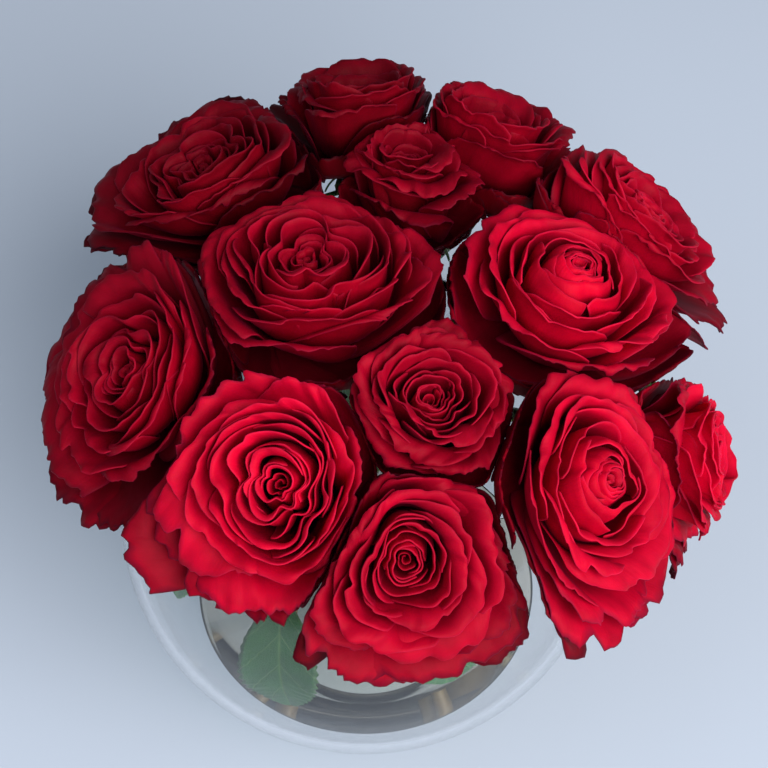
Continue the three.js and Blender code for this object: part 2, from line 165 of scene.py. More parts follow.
class PetalSettings(bpy.types.PropertyGroup):
    """Sizes and colours of the petals"""

    thickness: length_setting("Petal thickness", "Thickness in a petal's middle", 0.0006)
    petals: bpy.props.IntProperty(
        name="Petals", description="Petals of each rose, besides its scroll and guard petals",
        default=28, min=8, max=60,
    )
    colour: colour_setting("Petal colour", "Colour of a petal's face", "BE0024")
    # A petal's deeper colour towards its foot: partly its own, partly painted shade deep in the bloom
    foot_and_painted_shade_colour: colour_setting("Deep colour", "Colour towards a petal's foot", "720012")
    # Colour of a painted pale pink sheen along every petal's margin
    painted_rim_sheen_colour: colour_setting("Margin colour", "Colour of a petal's dry margin", "D82A58")
    back_colour: colour_setting("Back colour", "Colour of a petal's paler back", "B8103A")
    dry_colour: colour_setting("Dry colour", "Colour of an old petal's dried margin", "4C0A24")


class StemSettings(bpy.types.PropertyGroup):
    """Sizes and colours of the stems and leaves"""

    radius: length_setting("Stem radius", "Radius of each stem", 0.003)
    thorn_spacing: length_setting("Thorn spacing", "Distance between thorns along a stem", 0.022)
    thorn_length: length_setting("Thorn length", "Length of a thorn", 0.0055)
    colour: colour_setting("Stem colour", "Colour of the stem's skin", "4E7A3A")
    leaf_colour: colour_setting("Leaf colour", "Colour of a leaf's upper face", "17621F")
    leaf_back: colour_setting("Leaf back colour", "Colour of a leaf's lower face", "7E9C74")


class StageSettings(bpy.types.PropertyGroup):
    """Floor and light"""

    floor_colour: colour_setting("Floor colour", "Colour of the table", "B7C1CF")
    key_power: bpy.props.FloatProperty(
        name="Key light", description="Power of the soft lamp in front on the right",
        default=76.0, unit="POWER",
    )
    sky: bpy.props.FloatProperty(
        name="Room light", description="Strength of the light from all round", default=0.36, min=0.0
    )
    clear_sky: bpy.props.FloatProperty(
        name="Room seen in glass", description="Strength of the room as the glass shows it",
        default=0.42, min=0.0,
    )


# Curves and numbers


def mix(a, b, t):
    return a + (b - a) * t


def bezier(p0, p1, p2, p3, t):
    q = 1 - t
    return q**3 * p0 + 3 * q * q * t * p1 + 3 * q * t * t * p2 + t**3 * p3


def smooth(edge0, edge1, x):
    t = np.clip((x - edge0) / (edge1 - edge0), 0, 1)
    return t * t * (3 - 2 * t)


def ripple(x, knots, rng):
    """A random wavy line through a number of knots over x from -1 to 1."""
    values = rng.uniform(-1, 1, knots + 4)
    place = (np.asarray(x) * 0.5 + 0.5) * knots + 1
    low = np.clip(np.floor(place).astype(int), 0, knots + 2)
    t = place - low
    t = t * t * (3 - 2 * t)
    return values[low] * (1 - t) + values[low + 1] * t


# Where each rose stands


class Stand:
    """A rose's own frame, with Z along the bloom's axis, and how its heart is folded."""

    def __init__(self, rose):
        lean, side = radians(rose.lean), radians(rose.side)
        self.rose = rose
        self.axis = np.array([sin(lean) * cos(side), sin(lean) * sin(side), cos(lean)])
        turn = Vector((0, 0, 1)).rotation_difference(Vector(self.axis))
        self.turn = np.array(turn.to_matrix())
        self.base = np.array(rose.at, float)
        self.middle = self.base + 0.62 * rose.depth * self.axis
        rng = np.random.default_rng(CREASE_SEED + rose.number)
        count, deep = {"quartered": (3, 0.7), "open": (3, 0.2), "domed": (3, 0.28)}[rose.heart]
        turns = (np.arange(count) + rng.uniform(-0.4, 0.4, count)) * tau / count + rng.uniform(0, tau)
        self.creases = [(turn, deep * rng.uniform(0.5, 1.0), rng.uniform(0.2, 0.45)) for turn in turns]
        self.twist = rng.choice([-1, 1]) * rng.uniform(0.9, 1.3) * (1.7 if rose.heart == "quartered" else 1)
        self.lobes = rng.uniform(0, tau, 2)

    def creased(self, points):
        """Presses the rings of petals in along a few creases, then winds them round the heart."""
        rose = self.rose
        x, y, height = np.moveaxis(points, -1, 0)
        out = np.hypot(x, y)
        share = out / rose.radius
        angle = np.arctan2(y, x)
        pressed = 0.05 * np.sin(2 * angle + self.lobes[0]) + 0.04 * np.sin(3 * angle + self.lobes[1])
        for turn, deep, width in self.creases:
            apart = (angle - turn + pi) % tau - pi
            pressed = pressed + deep * (0.3 - np.exp(-((apart / width) ** 2))) * smooth(0.62, 0.18, share)
        out = out * (1 + pressed * smooth(0.1, 0.6, height / rose.depth))
        angle = angle + self.twist * np.clip(1 - share, 0, 1) ** 2
        return np.stack([out * np.cos(angle), out * np.sin(angle), height], -1)

    def placed(self, points):
        """Points of the bloom's own frame, creased and their heart pushed aside, in the object's frame."""
        rose = self.rose
        points = self.creased(points)
        out = np.hypot(points[..., 0], points[..., 1]) / (1.12 * rose.radius)
        share = np.clip(1 - out**2, 0, 1) * smooth(0.05, 0.65, points[..., 2] / rose.depth)
        pushed = points + share[..., None] * np.array([*rose.heart_at, 0.0])
        return pushed @ self.turn.T + self.base


STANDS = [Stand(rose) for rose in ROSES]

# How far lips reach as a share of the bloom's radius, and how sharply a neighbour stops them
LIP_REACH = 1.06
PRESS_POWER = 12

# In millimetres: how far lips stay from the plane where two blooms meet, the room always left to them, and
# how far past two blooms' reach a neighbour stops counting
NEIGHBOUR_GAP = 0.3
LEAST_ROOM = 6
PAST_REACH = 30

# How much a direction has to point towards a neighbour, from 0 to 1, for the neighbour to stop it
LEAST_FACING = 0.05


def drawn_in(points, stand, reach=1.0):
    """Draws a bloom's points in towards its axis where a neighbour takes the room."""
    full = LIP_REACH * stand.rose.radius * reach
    along = (points - stand.base) @ stand.axis
    foot = stand.base + along[..., None] * stand.axis
    outward = points - foot
    distance = np.linalg.norm(outward, axis=-1)
    direction = outward / np.maximum(distance, 1e-6)[..., None]
    total = np.full(distance.shape, full**-PRESS_POWER)
    for other in STANDS:
        towards = other.middle - stand.middle
        apart = np.linalg.norm(towards)
        if other is stand or apart > stand.rose.radius + other.rose.radius + PAST_REACH:
            continue
        towards = towards / apart
        facing = direction @ towards
        meeting = apart * stand.rose.radius / (stand.rose.radius + other.rose.radius)
        room = np.maximum(meeting - NEIGHBOUR_GAP - (foot - stand.middle) @ towards, LEAST_ROOM)
        room = room / np.maximum(facing, LEAST_FACING)
        total += np.where(facing > LEAST_FACING, room**-PRESS_POWER, 0)
    share = total ** (-1 / PRESS_POWER) / full
    part = distance / full
    return foot + direction * (distance / (1 + (1 / share - 1) * part**2))[..., None]


def about_axis(x, y, z, turn):
    """Points of a bloom's own frame, turned about its axis."""
    return np.stack([x * cos(turn) - y * sin(turn), x * sin(turn) + y * cos(turn), z], -1)


# Sheets: thin closed solids about a grid of points


class Sheets:
    """Gathers thin closed sheets, petal after petal, into one mesh with its attributes."""

    def __init__(self):
        self.points, self.faces, self.uv = [], [], []
        self.values = {"margin": [], "layer": [], "tone": [], "inner": []}
        self.count = 0

    def add(self, grid, across, along, margin, layer, tone, thickness):
        """grid is rows by columns of points; across and along are each point's place on the sheet."""
        rows, columns = grid.shape[:2]
        normal = np.cross(np.gradient(grid, axis=1), np.gradient(grid, axis=0))
        normal /= np.maximum(np.linalg.norm(normal, axis=-1, keepdims=True), 1e-9)
        inside = np.zeros((rows, columns), bool)
        inside[1:-1, 1:-1] = True
        half = np.where(inside, thickness / 2, 0)[..., None]
        front = np.arange(rows * columns).reshape(rows, columns)
        back = front.copy()
        back[inside] = rows * columns + np.arange(inside.sum())
        self.points += [(grid + normal * half).reshape(-1, 3), (grid - normal * half)[inside]]
        for side, order in ((front, (0, 1, 2, 3)), (back, (3, 2, 1, 0))):
            ring = (side[:-1, :-1], side[:-1, 1:], side[1:, 1:], side[1:, :-1])
            self.faces.append(self.count + np.stack([ring[k] for k in order], -1).reshape(-1, 4))
        place = np.stack([across, along], -1)
        self.uv += [place.reshape(-1, 2), place[inside]]
        for name, value, other in (
            ("margin", margin, margin), ("layer", layer, layer), ("tone", tone, tone), ("inner", 1.0, 0.0),
        ):
            shown = np.broadcast_to(value, (rows, columns))
            hidden = np.broadcast_to(other, (rows, columns))
            self.values[name] += [np.where(inside, shown, (shown + hidden) / 2).ravel(), hidden[inside]]
        self.count += rows * columns + int(inside.sum())

    def mesh(self, name):
        points = np.concatenate(self.points) * MM
        faces = np.concatenate(self.faces)
        made = mesh_of(name, points, faces)
        uv = np.concatenate(self.uv)[faces.ravel()]
        made.uv_layers.new(name="UVMap").data.foreach_set("uv", uv.astype(np.float32).ravel())
        for key, parts in self.values.items():
            attribute = made.attributes.new(key, "FLOAT", "POINT")
            attribute.data.foreach_set("value", np.concatenate(parts).astype(np.float32))
        return made


def mesh_of(name, points, faces):
    """A smooth mesh from points in metres and faces of four corners."""
    made = bpy.data.meshes.new(name)
    made.vertices.add(len(points))
    made.vertices.foreach_set("co", np.asarray(points, np.float32).ravel())
    made.loops.add(faces.size)
    made.loops.foreach_set("vertex_index", faces.astype(np.int32).ravel())
    made.polygons.add(len(faces))
    made.polygons.foreach_set("loop_start", np.arange(0, faces.size, 4, dtype=np.int32))
    made.polygons.foreach_set("use_smooth", np.ones(len(faces), bool))
    made.update(calc_edges=True)
    made.validate()
    return made


def shown(name, mesh, material, slot, *nodes):
    """Puts a finished mesh in the scene as a piece that stands for its CAD nodes."""
    piece = bpy.data.objects.new(name, mesh)
    bpy.context.scene.collection.objects.link(piece)
    if material is not None:
        mesh.materials.append(material)
    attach(piece, "root")
    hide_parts(*nodes)


# Petals

# The golden angle, by which each petal turns on from the one before
GOLDEN = pi * (3 - sqrt(5))


def margin_line(u, s, rng):
    """How far a petal reaches, across its width: rounded, a little cleft, and ragged on old outer petals."""
    line = 1 - rng.uniform(0.08, 0.16 + 0.12 * s) * np.abs(u) ** 2.6
    cleft = rng.uniform(-0.35, 0.35)
    line -= rng.uniform(0.01, 0.08) * np.exp(-(((u - cleft) / 0.1) ** 2)) * smooth(0.15, 0.5, s)
    line += 0.032 * ripple(u, 5, rng) + 0.016 * ripple(u, 12, rng) * smooth(0.2, 0.5, s)
    ragged = smooth(0.55, 1.0, s)
    line -= ragged * 0.055 * np.maximum(ripple(u, 20, rng), 0) ** 0.7
    line -= ragged * 0.035 * np.abs(ripple(u, 40, rng))
    return line


def strip_edges(values, first, last):
    """Evenly spaced values from -1 or 0 to 1 with one more close to each end that is asked for."""
    inside = np.linspace(values[0], values[1], values[2] - int(first > 0) - int(last > 0))
    low = [inside[0] + first] if first > 0 else []
    high = [inside[-1] - last] if last > 0 else []
    return np.concatenate([inside[:1], low, inside[1:-1], high, inside[-1:]])


# Roll of the innermost lips in mm, their slope in degrees, and the layer from which lips slope as far as
# the outermost
HEARTS = {"open": (1.8, 80, 0.8), "quartered": (3.0, 52, 1.0), "domed": (2.8, 36, 1.0)}

# Roll of the outermost lips in mm and their slope in degrees, below level
OUTER_ROLL, OUTER_SLOPE = 10.5, -32

# How steeply the innermost and the outermost petals rise, in degrees
INNER_RISE, OUTER_RISE = 97, 34

# The layer up to which a domed rose's petals close over its heart, and up to which they do so in full
DOME_ENDS, DOME_FULL = 0.36, 0.24

# Narrow strips of faces along a petal's sides and its top, as shares of its half width and its length
SIDE_STRIP, TOP_STRIP = 0.016, 0.012


def outer_petal(sheets, stand, s, turn, columns, rows, rng, reach=1.0, lower=1.0):
    """A petal of layer s, from 0 near the heart to 1 outermost, at an angle round the axis.

    Its body rises in a cup to a crest, and its lip then rolls over outwards.
    """
    radius, depth, heart = stand.rose.radius, stand.rose.depth, stand.rose.heart
    u = strip_edges((-1, 1, columns), SIDE_STRIP, SIDE_STRIP)[None, :]
    t = strip_edges((0, 1, rows), 0, TOP_STRIP)[:, None]
    # Inner petals start a third of the way up, because their feet are hidden
    start = 0.0 if s > 0.7 else 0.35
    line = margin_line(u, s, rng)
    v = start + (line - start) * t**0.7
    # How the lip rolls over from the body, and where that puts its tip and its crest
    first_roll, upright, sloped_from = HEARTS[heart]
    roll = mix(first_roll, OUTER_ROLL, s) * rng.uniform(0.75, 1.3)
    rise_angle = radians(mix(INNER_RISE, OUTER_RISE, s**1.3) + rng.uniform(-7, 7))
    end_angle = radians(mix(upright, OUTER_SLOPE, smooth(-0.1, sloped_from, s)) + rng.uniform(-14, 14))
    turn_over = max(rise_angle - end_angle, 0.12) * (1 + 0.3 * ripple(u, 4, rng))
    tip_r = (radius * (0.08 + 0.98 * s**0.92) * rng.uniform(0.97, 1.04) + rng.uniform(-1.1, 1.1)) * reach
    over = roll * (np.sin(rise_angle) - np.sin(rise_angle - turn_over))
    crest = 0.95 + 0.3 * s - 0.65 * s * s
    if heart == "open":
        crest -= 0.26 * (1 - smooth(0.0, 0.4, s))
    rise_left = roll * (cos(max(end_angle, 0)) - cos(rise_angle))
    crest_z = depth * crest * lower * rng.uniform(0.94, 1.05) - rise_left
    body_r = np.maximum(tip_r - over, 1.6)
    lip_length = np.mean(roll * turn_over)
    body_length = hypot(float(np.mean(body_r)), crest_z)
    lip_share = lip_length / (lip_length + body_length)
    body = np.clip(v / (1 - lip_share), 0, 1)
    lip = np.clip((v - 1 + lip_share) / lip_share, 0, 1)
    # The middle line's distance from the axis and its height: a curve up the body, then an arc over the lip
    hold = 0.42 * body_length
    foot_r, foot_angle = 1.5 + 4.5 * s, radians(mix(60, 4, s))
    r = bezier(foot_r, foot_r + hold * cos(foot_angle), body_r - hold * cos(rise_angle), body_r, body)
    z = bezier(1.5, 1.5 + hold * sin(foot_angle), crest_z - hold * sin(rise_angle), crest_z, body)
    at = rise_angle - turn_over * lip
    r = r + roll * (np.sin(rise_angle) - np.sin(at))
    z = z + roll * (np.cos(at) - np.cos(rise_angle))
    if heart == "domed" and s < DOME_ENDS:
        belly = radius * (0.1 + 0.8 * s**0.9)
        tip_in = belly * mix(0.2, 0.9, s / DOME_ENDS)
        top = depth * mix(1.1, 0.97, s / DOME_ENDS) * rng.uniform(0.97, 1.03)
        share = smooth(DOME_ENDS, DOME_FULL, s)
        flare = 1.7 * smooth(0.82, 1.0, v)
        r = mix(r, bezier(1.5, belly * 0.8 + 3, belly * 1.22, tip_in, v) + flare, share)
        z = mix(z, bezier(1.5, 0.25 * top, 0.92 * top, top, v) - 0.3 * flare, share)
    # The petal's width, and how it bows round the axis
    half_width = radius * mix(0.2, 0.62, s**0.7) * rng.uniform(0.85, 1.15)
    half = half_width * (0.3 + 0.95 * np.sin(np.minimum(v, 0.8) * 1.9)) * 0.86
    bow = np.maximum(r * mix(1, 1.22, s) * rng.uniform(0.93, 1.08), 3.0)
    angle = u * half / bow
    # Waves, a fold at a cleft, crumples and a frilled margin, all larger on the outer petals
    high = smooth(0.5, 1.0, v)
    side = np.abs(u) ** 5
    wide = mix(0.25, 1.5, s) * ripple(u, 3, rng) + mix(0.15, 0.7, s) * ripple(u, 8, rng)
    lift = mix(0.5, 1.7, s) * ripple(u, 4, rng) + mix(0.2, 1.0, s) * ripple(u, 10, rng)
    cleft = rng.uniform(-0.4, 0.4)
    fold = mix(0.3, 2.6, s) * np.exp(-(((u - cleft) / 0.09) ** 2)) * high**1.5
    crumple = mix(0.3, 1.2, s) * ripple(u, 9, rng) * ripple(v * 2 - 1, 6, rng)
    frill = mix(0.3, 1.2, s) * ripple(u, 15, rng) * smooth(0.75, 1.0, v) ** 1.5
    out = mix(0.4, 1.1, s) * u + wide * high - fold + crumple + 0.3 * roll * side * s
    x = r - bow + (bow + out) * np.cos(angle)
    y = (bow + out) * np.sin(angle)
    up = z + (lift + crumple) * high + frill - 0.3 * roll * side * s
    grid = drawn_in(stand.placed(about_axis(x, y, up, turn)), stand, reach)
    length = hypot(tip_r, crest_z)
    margin = np.minimum((line - v) * length, (1 - np.abs(u)) * half)
    across, along = np.broadcast_arrays(u * 0.5 + 0.5, v)
    # The outermost petals are darker at random, and the guard petals that lie out between neighbours darker
    # still
    outer_darkening = 1 - rng.uniform(0.0, 0.35) * smooth(0.72, 1.0, s)
    outer_darkening = outer_darkening - rng.uniform(0.2, 0.5) * smooth(1.0, 1.12, reach)
    # The tone takes the rose's darkness, which is partly painted shade on the roses that face away from the
    # light
    tone = stand.rose.shade * rng.uniform(0.9, 1.1) * outer_darkening
    layer = s if heart == "open" else mix(0.3, 1, s)
    sheets.add(grid, across, along, margin, layer, tone, petal_thickness())


def petal_thickness():
    """The thickness in a petal's middle, in millimetres."""
    return bpy.context.scene.rose_petals.thickness / MM


def scroll(sheets, stand, rng):
    """The rolled innermost petal of a heart."""
    depth = stand.rose.depth
    u = np.linspace(0, 1, 57)[None, :]
    t = np.linspace(0, 1, 9)[:, None]
    angle = rng.uniform(0, tau) + u * 3.6 * pi
    radius = (0.6 + 2.9 * u) * (0.75 + 0.25 * t)
    line = 0.03 * ripple(u * 2 - 1, 6, rng)
    top = {"open": 0.56, "quartered": 0.84, "domed": 1.02}[stand.rose.heart]
    height = depth * (0.3 + (top - 0.3 + 0.08 * u + line) * t)
    x, y = radius * np.cos(angle), radius * np.sin(angle)
    x, y, height = np.broadcast_arrays(x, y, height)
    grid = stand.placed(np.stack([x, y, height], -1))
    margin = np.broadcast_to((1 - t) * depth * 0.5, x.shape)
    across, along = np.broadcast_arrays(u, 0.4 + 0.6 * t)
    # The scroll takes its rose's darkness as its tone, partly painted shade
    sheets.add(grid, across, along, margin, 0.02, stand.rose.shade, petal_thickness())


def corner_share(stand, turn):
    """How far a guard petal at this angle may lie out between the neighbours, from 0 to 1."""
    rose = stand.rose
    out = 1.15 * rose.radius
    place = stand.placed(np.array([out * cos(turn), out * sin(turn), 0.3 * rose.depth]))
    others = [other for other in STANDS if other is not stand]
    near = sorted(np.linalg.norm(place - other.middle) / other.rose.radius for other in others)
    return float(max(smooth(1.75, 1.15, near[1]), 0.45 * smooth(1.45, 1.0, near[0])))


def bloom_mesh(stand):
    """All the petals of one rose."""
    rng = np.random.default_rng(PETAL_SEED + stand.rose.number)
    sheets = Sheets()
    first = rng.uniform(0, tau)
    count = bpy.context.scene.rose_petals.petals
    scroll(sheets, stand, rng)
    # Layers lie closer together towards the heart, the more so the higher the power
    crowding = 1.45 if stand.rose.heart == "quartered" else 1.6
    for k in range(count):
        s = 0.02 + 0.98 * ((k + 0.5) / count) ** crowding
        # Points across and along, fewer on the small inner petals
        columns, rows = (50, 13) if s > 0.6 else (40, 11) if s > 0.3 else (34, 9)
        outer_petal(sheets, stand, s, first + k * GOLDEN, columns, rows, rng)
    # Guard petals lie out and down in the corners between neighbours, and a few stray elsewhere
    for k in range(GUARD_PETALS):
        turn = first + tau * (k + rng.uniform(-0.2, 0.2)) / GUARD_PETALS
        share = max(corner_share(stand, turn), rng.uniform(-0.3, 0.16))
        if share > 0:
            outer_petal(sheets, stand, 1.0, turn, 40, 11, rng, 1.0 + 0.42 * share, mix(0.9, 0.55, share))
    return sheets.mesh(f"rose_{stand.rose.number:02d}")


# Stems, calyxes and leaves


def catmull_point(route, t):
    """A point at the share t of a smooth curve through the points of a route, centripetal."""
    count = len(route) - 1
    place = min(t * count, count - 1e-9)
    k = int(place)
    w = place - k
    p1, p2 = route[k], route[k + 1]
    p0 = route[k - 1] if k > 0 else 2 * route[0] - route[1]
    p3 = route[k + 2] if k + 2 <= count else 2 * route[-1] - route[-2]
    d0, d1, d2 = (sqrt(np.linalg.norm(b - a)) for a, b in ((p0, p1), (p1, p2), (p2, p3)))
    m1 = ((p1 - p0) / d0 - (p2 - p0) / (d0 + d1) + (p2 - p1) / d1) * d1
    m2 = ((p2 - p1) / d1 - (p3 - p1) / (d1 + d2) + (p3 - p2) / d2) * d1
    return p1 + m1 * w + (3 * (p2 - p1) - 2 * m1 - m2) * w**2 + (2 * (p1 - p2) + m1 + m2) * w**3


def inside_of_bowl():
    """The radius of the bowl's inner wall and the height of its floor, in millimetres."""
    bowl = bpy.context.scene.rose_bowl
    return (bowl.radius - bowl.wall) / MM, bowl.floor / MM


def stem_route(stand):
    """The points that a stem passes: its foot in the bowl, half-way, the mouth, the neck and the head."""
    rose = stand.rose
    inner, floor = inside_of_bowl()
    distance, bearing = rose.foot
    low = max(BOWL_CENTRE_Z - sqrt(inner**2 - distance**2) - 2, floor - 2)
    foot = np.array([distance * cos(radians(bearing)), distance * sin(radians(bearing)), low])
    # It passes the mouth at about half the bloom's distance, 15 degrees on, and at most 61 mm from the middle
    out = min(0.55 * hypot(*rose.at[:2]), 61)
    across = atan2(rose.at[1], rose.at[0]) + radians(15)
    mouth = np.array([out * cos(across), out * sin(across), RIM_Z + 3])
    neck = stand.base - 12 * stand.axis
    head = stand.base - 6.6 * stand.axis
    return [foot, (foot + mouth) / 2, mouth, neck, head]


def stem_start(route):
    """The share of a route at which the stem's cut end is clear of the glass, as the solid stem's is."""
    radius = bpy.context.scene.rose_stems.radius / MM
    inner, floor = inside_of_bowl()
    # The first quarter of the route is tried, a thousandth at a time
    for t in np.linspace(0, 0.25, 251):
        here = catmull_point(route, t)
        along = catmull_point(route, t + 0.01) - here
        along /= np.linalg.norm(along)
        from_centre = here - (0, 0, BOWL_CENTRE_Z)
        sideways = np.linalg.norm(from_centre - (from_centre @ along) * along)
        lowest = here[2] - radius * hypot(along[0], along[1])
        furthest = sqrt(from_centre @ from_centre + 2 * radius * sideways + radius**2)
        if lowest >= floor + FOOT_CLEAR and furthest <= inner - FOOT_CLEAR:
            return t
    raise RuntimeError("a stem's foot doesn't come clear of the glass")


def route_mesh(points):
    """A line of points as a mesh of edges, for a Geometry Nodes tree to follow."""
    made = bpy.data.meshes.new("route")
    edges = [(k, k + 1) for k in range(len(points) - 1)]
    made.from_pydata([tuple(p * MM) for p in points], edges, [])
    return made


def lathe_points(profile, around, stand):
    """Rings of points about a bloom's axis from a profile of radius and height."""
    angle = np.linspace(0, tau, around, endpoint=False)
    rings = [np.stack([r * np.cos(angle), r * np.sin(angle), np.full(around, z)], -1) for r, z in profile]
    return stand.placed(np.stack(rings))


def sepal_sheet(sheets, stand, turn, length, drop, rng):
    """A sepal: narrow, tapering, with a few small side lobes, folded back from the calyx."""
    u = np.linspace(-1, 1, 7)[None, :]
    v = np.linspace(0, 1, 20)[:, None]
    lobes = 1 + 0.5 * np.maximum(np.sin(v * 19 + rng.uniform(0, 6)), 0) ** 3 * (v > 0.2) * (v < 0.75)
    half = (4.2 * (1 - v) ** 0.8 * (0.55 + 0.45 * np.cos(v * 1.4)) + 0.25) * lobes
    out = 4.5 + (length - 4.5) * (v - 0.12 * v**3)
    down = -2.6 - drop * v**1.6 + 0.9 * u**2 * (1 - v)
    bend = rng.uniform(-2.5, 2.5) * v**2
    x, y = out, u * half + bend
    down = np.broadcast_to(down, y.shape)
    grid = drawn_in(stand.placed(about_axis(x, y, down, turn)), stand)
    margin = (1 - np.abs(u)) * half
    across, along = np.broadcast_arrays(u * 0.5 + 0.5, v)
    sheets.add(grid, across, along, margin, 0.0, rng.uniform(0.85, 1.15), SEPAL_THICKNESS)


def leaf_sheet(sheets, leaf, rng):
    """A rose leaflet with a saw-toothed margin, arched along its length and folded a little at its midrib."""
    base, tip = np.array(leaf.base, float), np.array(leaf.tip, float)
    along = tip - base
    length = np.linalg.norm(along)
    across = np.cross(along, leaf.face)
    across /= np.linalg.norm(across)
    upward = np.cross(across, along)
    upward /= np.linalg.norm(upward)
    # Six rows of points to a tooth
    rows, columns, teeth = 103, 19, 17
    u = np.linspace(-1, 1, columns)[None, :]
    v = np.linspace(0, 1, rows)[:, None]
    saw = 1 - (v * teeth) % 1
    outline = np.sin(pi * v**0.85) ** 0.75
    half = 0.5 * leaf.width * np.maximum(outline * (1 + 0.09 * saw * np.abs(u) ** 6), 0.012)
    wave = 0.5 * np.sin(v * 14) * u**2 + 0.35 * ripple(v * 2 - 1, 7, rng) * np.abs(u)
    lift = 0.18 * half * np.abs(u) + 0.16 * length * np.sin(pi * v) + wave
    lean = 0.03 * length * np.abs(u) * saw * outline
    grid = (
        base + along * (v + lean / length)[..., None]
        + across * (u * half)[..., None] + upward * np.broadcast_to(lift, (rows, columns))[..., None]
    )
    margin = (1 - np.abs(u)) * half
    place_u, place_v = np.broadcast_arrays(u * 0.5 + 0.5, v)
    sheets.add(grid, place_u, place_v, margin, 0.0, leaf.tone, LEAF_THICKNESS)


def add_rings(sheets, rings):
    """Adds a tube through rings of points, whose end rings are so small that they need no caps."""
    count, around = rings.shape[:2]
    index = np.arange(count * around).reshape(count, around)
    after = np.roll(index, -1, axis=1)
    sides = np.stack([index[:-1], after[:-1], after[1:], index[1:]], -1).reshape(-1, 4)
    sheets.points.append(rings.reshape(-1, 3))
    sheets.faces.append(sides + sheets.count)
    along = np.repeat(np.linspace(0, 1, count), around)
    sheets.uv.append(np.stack([np.full_like(along, 0.3), along], -1))
    # Nowhere near a margin, in the innermost layer, of common tone, and with its upper face out
    for name, value in (("margin", 9.0), ("layer", 0.0), ("tone", 1.0), ("inner", 1.0)):
        sheets.values[name].append(np.full(count * around, value))
    sheets.count += count * around


def add_calyx_bulb(sheets, stand):
    """The swollen hip that carries the sepals and petals."""
    profile = [
        (0.02, -11), (3.1, -10.6), (4.4, -9), (6.6, -6), (7.9, -3.3), (7.6, -1.5), (6.4, -0.4), (0.02, 0),
    ]
    add_rings(sheets, lathe_points(profile, 20, stand))


def add_stalk(sheets, leaf):
    """The stalk that joins a leaf to its stem and runs into the midrib."""
    stand = STANDS[leaf.rose - 1]
    start = catmull_point(stem_route(stand), leaf.share)
    end, tip = np.array(leaf.base, float), np.array(leaf.tip, float)
    sag = (start + end) / 2 + (0, 0, 5)
    t = np.linspace(0, 1, 12)[:, None]
    path = list((1 - t) ** 2 * start + 2 * t * (1 - t) * sag + t**2 * end) + [end + 0.12 * (tip - end)]
    widths = [0.02] + [1.3] * 3 + [1.15] * 7 + [1.0, 0.02]
    rings = []
    for k, (centre, width) in enumerate(zip(path, widths)):
        ahead = path[min(k + 1, len(path) - 1)] - path[max(k - 1, 0)]
        ahead = ahead / np.linalg.norm(ahead)
        across = np.cross((0.3, 1, 0), ahead)
        across /= np.linalg.norm(across)
        up = np.cross(ahead, across)
        angle = np.linspace(0, tau, 10, endpoint=False)
        rings.append(centre + width * (np.cos(angle)[:, None] * across + np.sin(angle)[:, None] * up))
    add_rings(sheets, np.stack(rings))


# Nodes


def add(tree, kind, inputs=None, **settings):
    """Adds a node with its settings; an input given as another node's socket is linked."""
    node = tree.nodes.new(kind)
    for key, value in settings.items():
        setattr(node, key, value)
    for key, value in (inputs or {}).items():
        if isinstance(value, bpy.types.NodeSocket):
            tree.links.new(value, node.inputs[key])
        else:
            node.inputs[key].default_value = value
    return node


def geometry_tree(name, inputs):
    """An empty Geometry Nodes tree with named inputs; gives the tree, its input node and its output node."""
    tree = bpy.data.node_groups.new(name, "GeometryNodeTree")
    for title, kind, default in inputs:
        socket = tree.interface.new_socket(name=title, in_out="INPUT", socket_type=kind)
        if default is not None:
            socket.default_value = default
    tree.interface.new_socket(name="Geometry", in_out="OUTPUT", socket_type="NodeSocketGeometry")
    return tree, tree.nodes.new("NodeGroupInput"), tree.nodes.new("NodeGroupOutput")


def grown(name, start_mesh, tree, values):
    """Runs a Geometry Nodes tree on a mesh with values for its named inputs, and gives the plain mesh."""
    holder = bpy.data.objects.new(name, start_mesh)
    bpy.context.scene.collection.objects.link(holder)
    modifier = holder.modifiers.new("tree", "NODES")
    modifier.node_group = tree
    names = {item.name: item.identifier for item in tree.interface.items_tree if item.in_out == "INPUT"}
    for title, value in values.items():
        modifier[names[title]] = value
    graph = bpy.context.evaluated_depsgraph_get()
    made = bpy.data.meshes.new_from_object(holder.evaluated_get(graph))
    if not made.polygons:
        raise RuntimeError(f"the tree {tree.name} made nothing for {name}")
    bpy.data.objects.remove(holder)
    made.name = name
    return made


